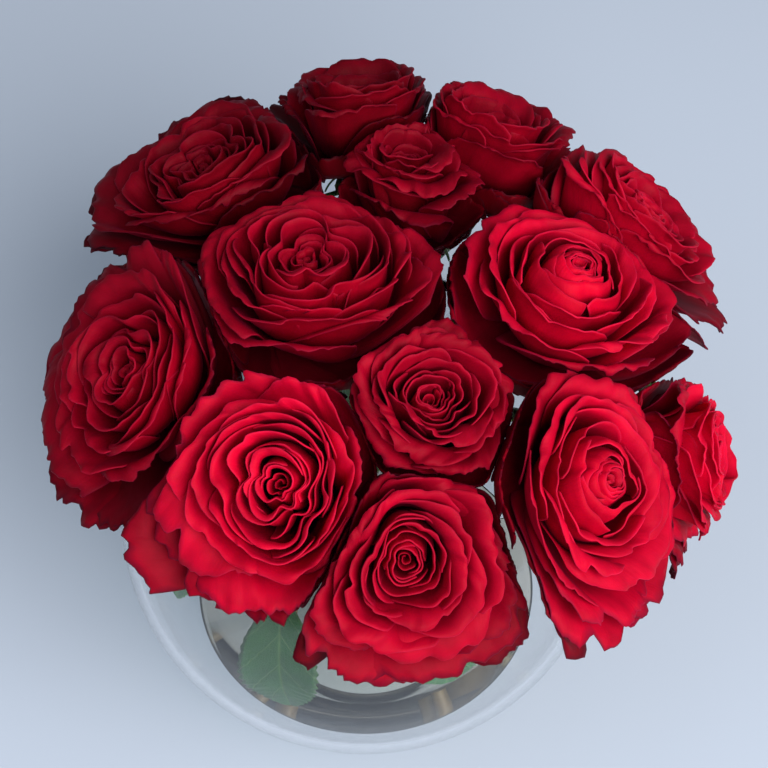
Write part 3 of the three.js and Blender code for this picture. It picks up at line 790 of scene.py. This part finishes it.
def revolve_tree():
    """Turns a profile, a line of points in the XZ plane, about Z into a closed body."""
    tree, start, end = geometry_tree("Revolve about Z", [
        ("Geometry", "NodeSocketGeometry", None), ("Profile Steps", "NodeSocketInt", 100),
        ("Steps Around", "NodeSocketInt", 128), ("Material", "NodeSocketMaterial", None),
    ])
    rows = add(tree, "ShaderNodeMath", {0: start.outputs["Profile Steps"], 1: 1.0}, operation="ADD")
    columns = add(tree, "ShaderNodeMath", {0: start.outputs["Steps Around"], 1: 1.0}, operation="ADD")
    sheet = add(tree, "GeometryNodeMeshGrid", {
        "Size X": 1.0, "Size Y": 1.0, "Vertices X": columns.outputs[0], "Vertices Y": rows.outputs[0],
    })
    place = add(tree, "ShaderNodeSeparateXYZ", {0: sheet.outputs["UV Map"]})
    step = add(tree, "ShaderNodeMath", {
        0: place.outputs["Y"], 1: start.outputs["Profile Steps"],
    }, operation="MULTIPLY")
    nearest = add(tree, "ShaderNodeMath", {0: step.outputs[0]}, operation="ROUND")
    where = add(tree, "GeometryNodeInputPosition")
    point = add(tree, "GeometryNodeSampleIndex", {
        "Geometry": start.outputs["Geometry"], "Value": where.outputs[0], "Index": nearest.outputs[0],
    }, data_type="FLOAT_VECTOR")
    angle = add(tree, "ShaderNodeMath", {0: place.outputs["X"], 1: tau}, operation="MULTIPLY")
    turned = add(tree, "ShaderNodeVectorRotate", {
        "Vector": point.outputs[0], "Angle": angle.outputs[0],
    }, rotation_type="Z_AXIS")
    wound = add(tree, "GeometryNodeSetPosition", {
        "Geometry": sheet.outputs["Mesh"], "Position": turned.outputs[0],
    })
    closed = add(tree, "GeometryNodeMergeByDistance", {"Geometry": wound.outputs[0], "Distance": 1e-6})
    rounded = add(tree, "GeometryNodeSetShadeSmooth", {"Geometry": closed.outputs[0]})
    real = add(tree, "GeometryNodeRealizeInstances", {"Geometry": rounded.outputs[0]})
    finished = add(tree, "GeometryNodeSetMaterial", {
        "Geometry": real.outputs[0], "Material": start.outputs["Material"],
    })
    tree.links.new(finished.outputs[0], end.inputs[0])
    return tree


def stem_tree():
    """A round stem along a route, with thorns set round it at random turns."""
    tree, start, end = geometry_tree("Stem with thorns", [
        ("Geometry", "NodeSocketGeometry", None), ("Stem Radius", "NodeSocketFloat", 0.003),
        ("Thorn Spacing", "NodeSocketFloat", 0.022), ("Thorn Length", "NodeSocketFloat", 0.0055),
        ("Seed", "NodeSocketInt", 1), ("Skin", "NodeSocketMaterial", None),
        ("Thorn Skin", "NodeSocketMaterial", None),
    ])
    curve = add(tree, "GeometryNodeMeshToCurve", {"Mesh": start.outputs["Geometry"]})
    section = add(tree, "GeometryNodeCurvePrimitiveCircle", {
        "Resolution": 16, "Radius": start.outputs["Stem Radius"],
    })
    tube = add(tree, "GeometryNodeCurveToMesh", {
        "Curve": curve.outputs[0], "Profile Curve": section.outputs["Curve"], "Fill Caps": True,
    })
    middle = add(tree, "GeometryNodeTrimCurve", {"Curve": curve.outputs[0], "Start": 0.12, "End": 0.92})
    spots = add(tree, "GeometryNodeCurveToPoints", {
        "Curve": middle.outputs[0], "Length": start.outputs["Thorn Spacing"],
    }, mode="LENGTH")
    chance = add(tree, "FunctionNodeRandomValue", {
        "Min": 0.0, "Max": tau, "Seed": start.outputs["Seed"],
    }, data_type="FLOAT")
    about = add(tree, "FunctionNodeAxisAngleToRotation", {
        "Axis": (0, 0, 1), "Angle": chance.outputs["Value"],
    })
    aim = add(tree, "FunctionNodeAxisAngleToRotation", {"Axis": (0, 1, 0), "Angle": radians(108)})
    turned = add(tree, "FunctionNodeRotateRotation", {
        "Rotation": spots.outputs["Rotation"], "Rotate By": about.outputs[0],
    }, rotation_space="LOCAL")
    aimed = add(tree, "FunctionNodeRotateRotation", {
        "Rotation": turned.outputs[0], "Rotate By": aim.outputs[0],
    }, rotation_space="LOCAL")
    cone = add(tree, "GeometryNodeMeshCone", {
        "Vertices": 10, "Side Segments": 3, "Radius Top": 0.0001, "Radius Bottom": 0.0021,
        "Depth": start.outputs["Thorn Length"],
    })
    flat = add(tree, "GeometryNodeTransform", {
        "Geometry": cone.outputs["Mesh"], "Translation": (0, 0, 0.0024), "Scale": (1.0, 0.5, 1.0),
    })
    marked = add(tree, "GeometryNodeStoreNamedAttribute", {
        "Geometry": flat.outputs[0], "Name": "thorn", "Value": True,
    }, data_type="BOOLEAN", domain="FACE")
    skinned = add(tree, "GeometryNodeSetMaterial", {
        "Geometry": marked.outputs[0], "Material": start.outputs["Thorn Skin"],
    })
    size = add(tree, "FunctionNodeRandomValue", {
        "Min": 0.55, "Max": 1.1, "Seed": start.outputs["Seed"],
    }, data_type="FLOAT")
    sized = add(tree, "ShaderNodeCombineXYZ", {k: size.outputs["Value"] for k in "XYZ"})
    thorns = add(tree, "GeometryNodeInstanceOnPoints", {
        "Points": spots.outputs["Points"], "Instance": skinned.outputs[0],
        "Rotation": aimed.outputs[0], "Scale": sized.outputs[0],
    })
    both = add(tree, "GeometryNodeJoinGeometry")
    tree.links.new(thorns.outputs[0], both.inputs[0])
    tree.links.new(tube.outputs[0], both.inputs[0])
    rounded = add(tree, "GeometryNodeSetShadeSmooth", {"Geometry": both.outputs[0]})
    real = add(tree, "GeometryNodeRealizeInstances", {"Geometry": rounded.outputs[0]})
    is_thorn = add(tree, "GeometryNodeInputNamedAttribute", {"Name": "thorn"}, data_type="BOOLEAN")
    is_stem = add(tree, "FunctionNodeBooleanMath", {0: is_thorn.outputs["Attribute"]}, operation="NOT")
    finished = add(tree, "GeometryNodeSetMaterial", {
        "Geometry": real.outputs[0], "Selection": is_stem.outputs[0], "Material": start.outputs["Skin"],
    })
    tree.links.new(finished.outputs[0], end.inputs[0])
    return tree


# The bowl and its water


def arc(centre_r, centre_z, radius, start, stop, count):
    """Points of an arc in the profile's plane, angles in degrees from the outward direction."""
    angles = np.radians(np.linspace(start, stop, count))
    return [(centre_r + radius * cos(a), centre_z + radius * sin(a)) for a in angles]


def bowl_profile(settings):
    """The bowl's section from the middle of its base round by the rim to the middle of its inside."""
    radius, wall, floor = (value / MM for value in (settings.radius, settings.wall, settings.floor))
    mouth, inner = settings.mouth / MM, radius - wall
    base = np.degrees(np.arcsin(-(BOWL_CENTRE_Z - 1.2) / radius))
    rim = np.degrees(np.arccos(mouth / radius))
    floor_angle = np.degrees(np.arcsin((floor + 2 - BOWL_CENTRE_Z) / inner))
    outside = arc(0, BOWL_CENTRE_Z, radius, base, rim, 72)
    inside = arc(0, BOWL_CENTRE_Z, inner, rim, floor_angle, 66)
    lip_r, lip_z = (np.array(outside[-1]) + np.array(inside[0])) / 2
    lip = arc(lip_r, lip_z, wall / 2, rim, rim + 180, 9)[1:-1]
    foot = [(0, 0), (20, 0), (outside[0][0] - 3.0, 0), (outside[0][0] - 1.0, 0.25)]
    bed_edge = inside[-1][0]
    bed = [(bed_edge - 2.5, floor + 0.5), (bed_edge - 7, floor), (20, floor), (0, floor)]
    return foot + outside + lip + inside + bed


def water_profile(settings):
    """The water's section, which reaches a little into the glass all along, because water wets it."""
    inner = (settings.radius - settings.wall) / MM + WET_OVERLAP
    floor, level = settings.floor / MM - WET_OVERLAP, settings.water_level / MM
    low = np.degrees(np.arcsin((floor + 2 - BOWL_CENTRE_Z) / inner))
    high = np.degrees(np.arcsin((level + 1.6 - BOWL_CENTRE_Z) / inner))
    wall = arc(0, BOWL_CENTRE_Z, inner, low, high, 48)
    edge, bed_edge = wall[-1][0], wall[0][0]
    bed = [(0, floor), (20, floor), (bed_edge - 7, floor), (bed_edge - 2.5, floor + 0.5)]
    meniscus = [(edge - 1.2, level + 0.5), (edge - 3.0, level + 0.1), (edge - 6, level)]
    return bed + wall + meniscus + [(20, level), (0, level)]


def turned_body(name, profile, material):
    """A closed body from a profile turned about Z by the revolve tree."""
    line = route_mesh([np.array([r, 0.0, z]) for r, z in profile])
    return grown(name, line, revolve_tree(), {
        "Profile Steps": len(profile) - 1, "Steps Around": TURNED_STEPS, "Material": material,
    })


# Materials


def new_material(name):
    """An empty material; gives it, its node tree and its output node."""
    material = bpy.data.materials.new(name)
    material.use_nodes = True
    material.node_tree.nodes.clear()
    return material, material.node_tree, material.node_tree.nodes.new("ShaderNodeOutputMaterial")


def rose_petal_velvet(settings):
    """Fresh garden rose petal: cone-shaped cells give a velvet bloom, so it is deep red straight on and paler
    and pinker at a grazing look, with fine fanned veins, a painted pale pink sheen along its thin margin,
    dark dried margins on the oldest petals, and a colour that deepens towards its foot, partly its own and
    partly painted shade."""
    material, tree, output = new_material("Fresh rose petal, velvety")
    place = add(tree, "ShaderNodeUVMap", uv_map="UVMap")
    parts = add(tree, "ShaderNodeSeparateXYZ", {0: place.outputs[0]})
    margin = add(tree, "ShaderNodeAttribute", attribute_name="margin")
    tone = add(tree, "ShaderNodeAttribute", attribute_name="tone")
    inner = add(tree, "ShaderNodeAttribute", attribute_name="inner")
    body = add(tree, "ShaderNodeTexCoord")
    layer = add(tree, "ShaderNodeAttribute", attribute_name="layer")
    # Towards its foot a petal turns to the deep colour, partly its own darker foot and partly painted shade
    # deep in the bloom; on the heart's inner petals it reaches further up
    dark_until = add(tree, "ShaderNodeMapRange", {0: layer.outputs["Fac"], 3: 0.55, 4: 0.2})
    full_from = add(tree, "ShaderNodeMapRange", {0: layer.outputs["Fac"], 3: 0.97, 4: 0.72})
    foot = add(tree, "ShaderNodeMapRange", {
        0: parts.outputs["Y"], 1: dark_until.outputs[0], 2: full_from.outputs[0],
    }, interpolation_type="SMOOTHSTEP")
    face = add(tree, "ShaderNodeMix", {
        0: foot.outputs[0], 6: settings.foot_and_painted_shade_colour, 7: settings.colour,
    }, data_type="RGBA")
    # Patches of tone 12 mm across, and veins 1.2 mm apart on a petal 50 mm wide
    patch = add(tree, "ShaderNodeTexNoise", {"Vector": body.outputs["Object"], "Scale": 85.0, "Detail": 2.0})
    dapple = add(tree, "ShaderNodeMapRange", {0: patch.outputs[0], 1: 0.3, 2: 0.7, 3: 0.78, 4: 1.15})
    # The tone attribute darkens each petal, partly with painted shade on the roses that face away from the
    # light
    patched = add(tree, "ShaderNodeMath", {
        0: dapple.outputs[0], 1: tone.outputs["Fac"],
    }, operation="MULTIPLY")
    fan = add(tree, "ShaderNodeMapping", {"Vector": place.outputs[0], "Scale": (42.0, 2.2, 1.0)})
    veins = add(tree, "ShaderNodeTexNoise", {
        "Vector": fan.outputs[0], "Scale": 1.0, "Detail": 2.0, "Distortion": 0.4,
    })
    # A painted pale pink sheen along every margin, a quarter strong at the edge and gone 0.8 mm in
    rim = add(tree, "ShaderNodeMapRange", {0: margin.outputs["Fac"], 1: 0.0, 2: 0.8, 3: 0.24, 4: 0.0})
    rim_sheened = add(tree, "ShaderNodeMix", {
        0: rim.outputs[0], 6: face.outputs[2], 7: settings.painted_rim_sheen_colour,
    }, data_type="RGBA")
    # The oldest petals dry out dark and purple along their margin, in patches
    old = add(tree, "ShaderNodeMapRange", {0: layer.outputs["Fac"], 1: 0.78, 2: 1.0})
    spread = add(tree, "ShaderNodeMapRange", {0: patch.outputs[0], 1: 0.3, 2: 0.65, 3: 0.4, 4: 4.5})
    dryness = add(tree, "ShaderNodeMapRange", {
        0: margin.outputs["Fac"], 1: 0.0, 2: spread.outputs[0], 3: 0.8, 4: 0.0,
    })
    dry_share = add(tree, "ShaderNodeMath", {0: dryness.outputs[0], 1: old.outputs[0]}, operation="MULTIPLY")
    dried = add(tree, "ShaderNodeMix", {
        0: dry_share.outputs[0], 6: rim_sheened.outputs[2], 7: settings.dry_colour,
    }, data_type="RGBA")
    back = add(tree, "ShaderNodeMapRange", {0: inner.outputs["Fac"], 3: 0.16, 4: 0.0})
    sided = add(tree, "ShaderNodeMix", {
        0: back.outputs[0], 6: dried.outputs[2], 7: settings.back_colour,
    }, data_type="RGBA")
    toned = add(tree, "ShaderNodeVectorMath", {0: sided.outputs[2], 3: patched.outputs[0]}, operation="SCALE")
    # Real velvet cells are too fine to show, so they are drawn 0.7 mm wide
    grain = add(tree, "ShaderNodeTexNoise", {
        "Vector": body.outputs["Object"], "Scale": 1400.0, "Detail": 1.0,
    })
    ridges = add(tree, "ShaderNodeMath", {
        0: grain.outputs[0], 1: 0.25, 2: veins.outputs[0],
    }, operation="MULTIPLY_ADD")
    bump = add(tree, "ShaderNodeBump", {"Height": ridges.outputs[0], "Strength": 0.35, "Distance": 0.0004})
    petal = add(tree, "ShaderNodeBsdfPrincipled", {
        "Base Color": toned.outputs[0], "Roughness": 0.58, "IOR": 1.4, "Specular IOR Level": 0.08,
        "Sheen Weight": 0.06, "Sheen Roughness": 0.3, "Sheen Tint": linear("FF2F78"),
        "Subsurface Weight": 0.12, "Subsurface Radius": (1.0, 0.12, 0.15), "Subsurface Scale": 0.0012,
        "Normal": bump.outputs[0],
    })
    tree.links.new(petal.outputs[0], output.inputs[0])
    return material


def clear_body(name, ior, colour):
    """A clear body that lamps shine through, so that what stands in it and under it is lit."""
    material, tree, output = new_material(name)
    body = add(tree, "ShaderNodeBsdfPrincipled", {
        "Base Color": colour, "Roughness": 0.0, "IOR": ior, "Transmission Weight": 1.0,
    })
    shade = add(tree, "ShaderNodeBsdfTransparent", {"Color": LIGHT_LEFT})
    ray = add(tree, "ShaderNodeLightPath")
    lighting = add(tree, "ShaderNodeMath", {
        0: ray.outputs["Is Shadow Ray"], 1: ray.outputs["Is Diffuse Ray"],
    }, operation="MAXIMUM")
    shared = add(tree, "ShaderNodeMixShader", {
        0: lighting.outputs[0], 1: body.outputs[0], 2: shade.outputs[0],
    })
    tree.links.new(shared.outputs[0], output.inputs[0])
    return material


def blown_glass(settings):
    """Clear soda-lime glass, blown and fire-polished: smooth, with a faint cool tint in its thick base."""
    return clear_body("Blown soda-lime glass", 1.5, settings.glass_colour)


def tap_water():
    """Still tap water: bends what stands in it, and shows only where it mirrors."""
    return clear_body("Still water", 1.333, linear("F6ECDC"))


def rose_stem_skin(settings):
    """Waxy rose stem: satin green, a little redder in patches, with fine lengthwise grain."""
    material, tree, output = new_material("Rose stem skin, waxy")
    body = add(tree, "ShaderNodeTexCoord")
    # Redder patches 17 mm across
    blotch = add(tree, "ShaderNodeTexNoise", {"Vector": body.outputs["Object"], "Scale": 60.0, "Detail": 3.0})
    share = add(tree, "ShaderNodeMapRange", {0: blotch.outputs[0], 1: 0.45, 2: 0.75})
    # The foot is soaked and brown up to 20 mm above the table, which fades out at 50 mm
    parts = add(tree, "ShaderNodeSeparateXYZ", {0: body.outputs["Object"]})
    soaked = add(tree, "ShaderNodeMapRange", {0: parts.outputs["Z"], 1: 0.05, 2: 0.02, 3: 0.0, 4: 0.8})
    browned = add(tree, "ShaderNodeMath", {0: share.outputs[0], 1: soaked.outputs[0]}, operation="MAXIMUM")
    colour = add(tree, "ShaderNodeMix", {
        0: browned.outputs[0], 6: settings.colour, 7: linear("6B4A32"),
    }, data_type="RGBA")
    # Grain 1.1 mm wide and 7 mm long, coarser than the real one so that it shows
    fibre = add(tree, "ShaderNodeMapping", {"Vector": body.outputs["Object"], "Scale": (1.0, 1.0, 0.15)})
    grain = add(tree, "ShaderNodeTexNoise", {"Vector": fibre.outputs[0], "Scale": 900.0, "Detail": 2.0})
    bump = add(tree, "ShaderNodeBump", {"Height": grain.outputs[0], "Strength": 0.3, "Distance": 0.0003})
    skin = add(tree, "ShaderNodeBsdfPrincipled", {
        "Base Color": colour.outputs[2], "Roughness": 0.42, "Normal": bump.outputs[0],
    })
    tree.links.new(skin.outputs[0], output.inputs[0])
    return material


def rose_thorn_horn():
    """Rose thorn: horny and smooth, red-brown with paler specks."""
    material, tree, output = new_material("Rose thorn, horny")
    body = add(tree, "ShaderNodeTexCoord")
    # Specks 2 mm across
    speck = add(tree, "ShaderNodeTexNoise", {"Vector": body.outputs["Object"], "Scale": 500.0, "Detail": 2.0})
    colour = add(tree, "ShaderNodeMix", {
        0: speck.outputs[0], 6: linear("6E3B2A"), 7: linear("A0703F"),
    }, data_type="RGBA")
    horn = add(tree, "ShaderNodeBsdfPrincipled", {"Base Color": colour.outputs[2], "Roughness": 0.35})
    tree.links.new(horn.outputs[0], output.inputs[0])
    return material


def rose_leaf_blade(name, upper, lower):
    """Rose leaf: leathery and satin, dark above with a net of sunken paler veins, and pale below."""
    material, tree, output = new_material(name)
    place = add(tree, "ShaderNodeUVMap", uv_map="UVMap")
    parts = add(tree, "ShaderNodeSeparateXYZ", {0: place.outputs[0]})
    inner = add(tree, "ShaderNodeAttribute", attribute_name="inner")
    body = add(tree, "ShaderNodeTexCoord")
    aside = add(tree, "ShaderNodeMath", {0: parts.outputs["X"], 1: -0.5}, operation="ADD")
    apart = add(tree, "ShaderNodeMath", {0: aside.outputs[0]}, operation="ABSOLUTE")
    # Side veins leave the midrib every 2/9 of the length, 14 mm on the longest leaf, and run on to the margin
    slant = add(tree, "ShaderNodeMath", {
        0: apart.outputs[0], 1: -0.5, 2: parts.outputs["Y"],
    }, operation="MULTIPLY_ADD")
    count = add(tree, "ShaderNodeMath", {0: slant.outputs[0], 1: 9.0}, operation="MULTIPLY")
    wave = add(tree, "ShaderNodeMath", {0: count.outputs[0], 1: 1.0}, operation="PINGPONG")
    side_vein = add(tree, "ShaderNodeMapRange", {0: wave.outputs[0], 1: 0.0, 2: 0.09, 3: 1.0, 4: 0.0})
    midrib = add(tree, "ShaderNodeMapRange", {0: apart.outputs[0], 1: 0.0, 2: 0.035, 3: 1.0, 4: 0.0})
    vein = add(tree, "ShaderNodeMath", {0: side_vein.outputs[0], 1: midrib.outputs[0]}, operation="MAXIMUM")
    # The net between the veins has meshes about 1 mm wide
    net = add(tree, "ShaderNodeTexVoronoi", {
        "Vector": body.outputs["Object"], "Scale": 900.0,
    }, feature="DISTANCE_TO_EDGE")
    net_line = add(tree, "ShaderNodeMapRange", {0: net.outputs["Distance"], 1: 0.0, 2: 0.12, 3: 0.45, 4: 0.0})
    lines = add(tree, "ShaderNodeMath", {0: vein.outputs[0], 1: net_line.outputs[0]}, operation="MAXIMUM")
    # Patches of tone 14 mm across
    patch = add(tree, "ShaderNodeTexNoise", {"Vector": body.outputs["Object"], "Scale": 70.0, "Detail": 3.0})
    faces = add(tree, "ShaderNodeMix", {
        0: inner.outputs["Fac"], 6: lower, 7: upper,
    }, data_type="RGBA")
    bright = add(tree, "ShaderNodeMapRange", {0: patch.outputs[0], 1: 0.3, 2: 0.7, 3: 0.75, 4: 1.2})
    tone = add(tree, "ShaderNodeAttribute", attribute_name="tone")
    strength = add(tree, "ShaderNodeMath", {
        0: bright.outputs[0], 1: tone.outputs["Fac"],
    }, operation="MULTIPLY")
    veined_share = add(tree, "ShaderNodeMath", {0: lines.outputs[0], 1: 0.45}, operation="MULTIPLY")
    veined = add(tree, "ShaderNodeMix", {
        0: veined_share.outputs[0], 6: faces.outputs[2], 7: linear("86A860"),
    }, data_type="RGBA")
    toned = add(tree, "ShaderNodeVectorMath", {
        0: veined.outputs[2], 3: strength.outputs[0],
    }, operation="SCALE")
    bump = add(tree, "ShaderNodeBump", {
        "Height": lines.outputs[0], "Strength": 0.5, "Distance": 0.0005,
    }, invert=True)
    blade = add(tree, "ShaderNodeBsdfPrincipled", {
        "Base Color": toned.outputs[0], "Roughness": 0.5, "Specular IOR Level": 0.25,
        "Subsurface Weight": 0.1, "Subsurface Radius": (0.4, 1.0, 0.2), "Subsurface Scale": 0.001,
        "Normal": bump.outputs[0],
    })
    tree.links.new(blade.outputs[0], output.inputs[0])
    return material


def matt_table(settings):
    """Painted table top: smooth and matt, a cool pale grey."""
    material, tree, output = new_material("Matt painted table")
    paint = add(tree, "ShaderNodeBsdfPrincipled", {
        "Base Color": settings.floor_colour, "Roughness": 0.55, "Specular IOR Level": 0.25,
    })
    tree.links.new(paint.outputs[0], output.inputs[0])
    return material


def studio_room(settings):
    """The room all round: dim as a light, and brighter where the glass and water show it."""
    world = bpy.data.worlds.new("Studio")
    world.use_nodes = True
    tree = world.node_tree
    tree.nodes.clear()
    ray = add(tree, "ShaderNodeLightPath")
    strength = add(tree, "ShaderNodeMapRange", {
        0: ray.outputs["Is Transmission Ray"], 3: settings.sky, 4: settings.clear_sky,
    })
    light = add(tree, "ShaderNodeBackground", {"Color": linear("D3DCE8"), "Strength": strength.outputs[0]})
    output = tree.nodes.new("ShaderNodeOutputWorld")
    tree.links.new(light.outputs[0], output.inputs[0])
    return world


# Operators, one for each piece or group of like pieces


class ROSES_OT_stage(bpy.types.Operator):
    """Makes the camera, the floor and the soft studio light"""

    bl_idname = "roses.stage"
    bl_label = "Stage"

    def execute(self, context):
        scene = context.scene
        settings = scene.rose_stage
        camera = bpy.data.cameras.new("Camera")
        camera.sensor_width, camera.lens = CAMERA_SENSOR, CAMERA_LENS
        view = bpy.data.objects.new("Camera", camera)
        view.location = [c * MM for c in CAMERA_PLACE]
        view.rotation_euler = (radians(90 - CAMERA_LOOKS_DOWN), 0, 0)
        camera.clip_start, camera.clip_end = CAMERA_SEES
        scene.collection.objects.link(view)
        scene.camera = view
        square = ((-1, -1), (1, -1), (1, 1), (-1, 1))
        corners = [(x * FLOOR_HALF, y * FLOOR_HALF, -FLOOR_DROP) for x, y in square]
        floor_mesh = mesh_of("floor", corners, np.array([[0, 1, 2, 3]]))
        floor_mesh.materials.append(matt_table(settings))
        floor = bpy.data.objects.new("floor", floor_mesh)
        scene.collection.objects.link(floor)
        for name, (place, size, share, colour) in LAMPS.items():
            lamp = bpy.data.lights.new(name, "AREA")
            lamp.shape, lamp.size, lamp.color = "DISK", size, colour
            lamp.energy = settings.key_power * share
            holder = bpy.data.objects.new(name, lamp)
            holder.location = place
            aim = Vector(LAMPS_AIM) - Vector(place)
            holder.rotation_euler = aim.to_track_quat("-Z", "Y").to_euler()
            scene.collection.objects.link(holder)
        scene.world = studio_room(settings)
        scene.view_settings.view_transform = "Standard"
        return {"FINISHED"}


class ROSES_OT_bowl(bpy.types.Operator):
    """Blows the round glass bowl, as a profile turned about the middle"""

    bl_idname = "roses.bowl"
    bl_label = "Glass bowl"

    def execute(self, context):
        settings = context.scene.rose_bowl
        mesh = turned_body("glass_bowl", bowl_profile(settings), blown_glass(settings))
        shown("glass_bowl", mesh, None, "glass", "vase")
        return {"FINISHED"}


class ROSES_OT_water(bpy.types.Operator):
    """Fills the bowl with water up to its level"""

    bl_idname = "roses.water"
    bl_label = "Water"

    def execute(self, context):
        settings = context.scene.rose_bowl
        mesh = turned_body("bowl_water", water_profile(settings), tap_water())
        shown("bowl_water", mesh, None, "water", "water")
        return {"FINISHED"}


class ROSES_OT_stems(bpy.types.Operator):
    """Grows each rose's stem with its thorns"""

    bl_idname = "roses.stems"
    bl_label = "Stems"

    def execute(self, context):
        settings = context.scene.rose_stems
        skin, horn = rose_stem_skin(settings), rose_thorn_horn()
        tree = stem_tree()
        for stand in STANDS:
            number = stand.rose.number
            route = stem_route(stand)
            shares = np.linspace(stem_start(route), 1, STEM_POINTS)
            line = route_mesh([catmull_point(route, t) for t in shares])
            mesh = grown(f"stem_skin_{number:02d}", line, tree, {
                "Stem Radius": settings.radius, "Thorn Spacing": settings.thorn_spacing,
                "Thorn Length": settings.thorn_length, "Seed": number, "Skin": skin, "Thorn Skin": horn,
            })
            shown(f"rose_stem_{number:02d}", mesh, None, "stem", f"stem_{number:02d}")
        return {"FINISHED"}


class ROSES_OT_calyxes(bpy.types.Operator):
    """Shapes the calyx and the five sepals under each bloom"""

    bl_idname = "roses.calyxes"
    bl_label = "Calyxes and sepals"

    def execute(self, context):
        green = rose_leaf_blade("Rose sepal, downy", linear("3F5C2C"), linear("6F8A55"))
        for stand in STANDS:
            number = stand.rose.number
            rng = np.random.default_rng(SEPAL_SEED + number)
            sheets = Sheets()
            for k in range(SEPALS):
                turn = tau * (k + 0.5) / SEPALS + rng.uniform(0, 0.3)
                # They reach about 17 to 23 mm out from the axis and hang 5 to 11 mm down
                sepal_sheet(sheets, stand, turn, rng.uniform(19, 25), rng.uniform(5, 11), rng)
            add_calyx_bulb(sheets, stand)
            name = f"calyx_{number:02d}"
            shown(name, sheets.mesh(name), green, "stem", f"stem_{number:02d}")
        return {"FINISHED"}


class ROSES_OT_leaves(bpy.types.Operator):
    """Makes the leaves with their saw-toothed margins, veins and stalks"""

    bl_idname = "roses.leaves"
    bl_label = "Leaves"

    def execute(self, context):
        settings = context.scene.rose_stems
        blade = rose_leaf_blade("Rose leaf, leathery", settings.leaf_colour, settings.leaf_back)
        for number, leaf in enumerate(LEAVES, 1):
            rng = np.random.default_rng(LEAF_SEED + number)
            sheets = Sheets()
            leaf_sheet(sheets, leaf, rng)
            add_stalk(sheets, leaf)
            name = f"leaf_{number}"
            shown(name, sheets.mesh(name), blade, "stem", f"stem_{leaf.rose:02d}")
        return {"FINISHED"}


class ROSES_OT_blooms(bpy.types.Operator):
    """Lays out every bloom, petal by petal"""

    bl_idname = "roses.blooms"
    bl_label = "Blooms"

    def execute(self, context):
        velvet = rose_petal_velvet(context.scene.rose_petals)
        for stand in STANDS:
            number = stand.rose.number
            shown(f"rose_{number:02d}", bloom_mesh(stand), velvet, "petal", f"bloom_{number:02d}")
        return {"FINISHED"}


class ROSES_PT_panel(bpy.types.Panel):
    """Lists the makers of the roses in their bowl"""

    bl_idname = "ROSES_PT_panel"
    bl_label = "Roses in a glass bowl"
    bl_space_type = "VIEW_3D"
    bl_region_type = "UI"
    bl_category = "Roses"

    def draw(self, context):
        for name, _ in SETTINGS:
            group = getattr(context.scene, name)
            box = self.layout.box()
            for key in group.__annotations__:
                box.prop(group, key)
        for operator in OPERATORS:
            self.layout.operator(operator.bl_idname)


SETTINGS = [
    ("rose_stage", StageSettings), ("rose_bowl", BowlSettings), ("rose_stems", StemSettings),
    ("rose_petals", PetalSettings),
]
OPERATORS = [
    ROSES_OT_stage, ROSES_OT_bowl, ROSES_OT_water, ROSES_OT_stems, ROSES_OT_calyxes, ROSES_OT_leaves,
    ROSES_OT_blooms,
]


def register():
    for name, group in SETTINGS:
        bpy.utils.register_class(group)
        setattr(bpy.types.Scene, name, bpy.props.PointerProperty(type=group))
    for operator in OPERATORS:
        bpy.utils.register_class(operator)
    bpy.utils.register_class(ROSES_PT_panel)


def unregister():
    bpy.utils.unregister_class(ROSES_PT_panel)
    for operator in reversed(OPERATORS):
        bpy.utils.unregister_class(operator)
    for name, group in reversed(SETTINGS):
        delattr(bpy.types.Scene, name)
        bpy.utils.unregister_class(group)


def main():
    register()
    bpy.ops.roses.stage()
    bpy.ops.roses.bowl()
    bpy.ops.roses.water()
    bpy.ops.roses.stems()
    bpy.ops.roses.calyxes()
    bpy.ops.roses.leaves()
    bpy.ops.roses.blooms()


if __name__ == "__main__":
    main()
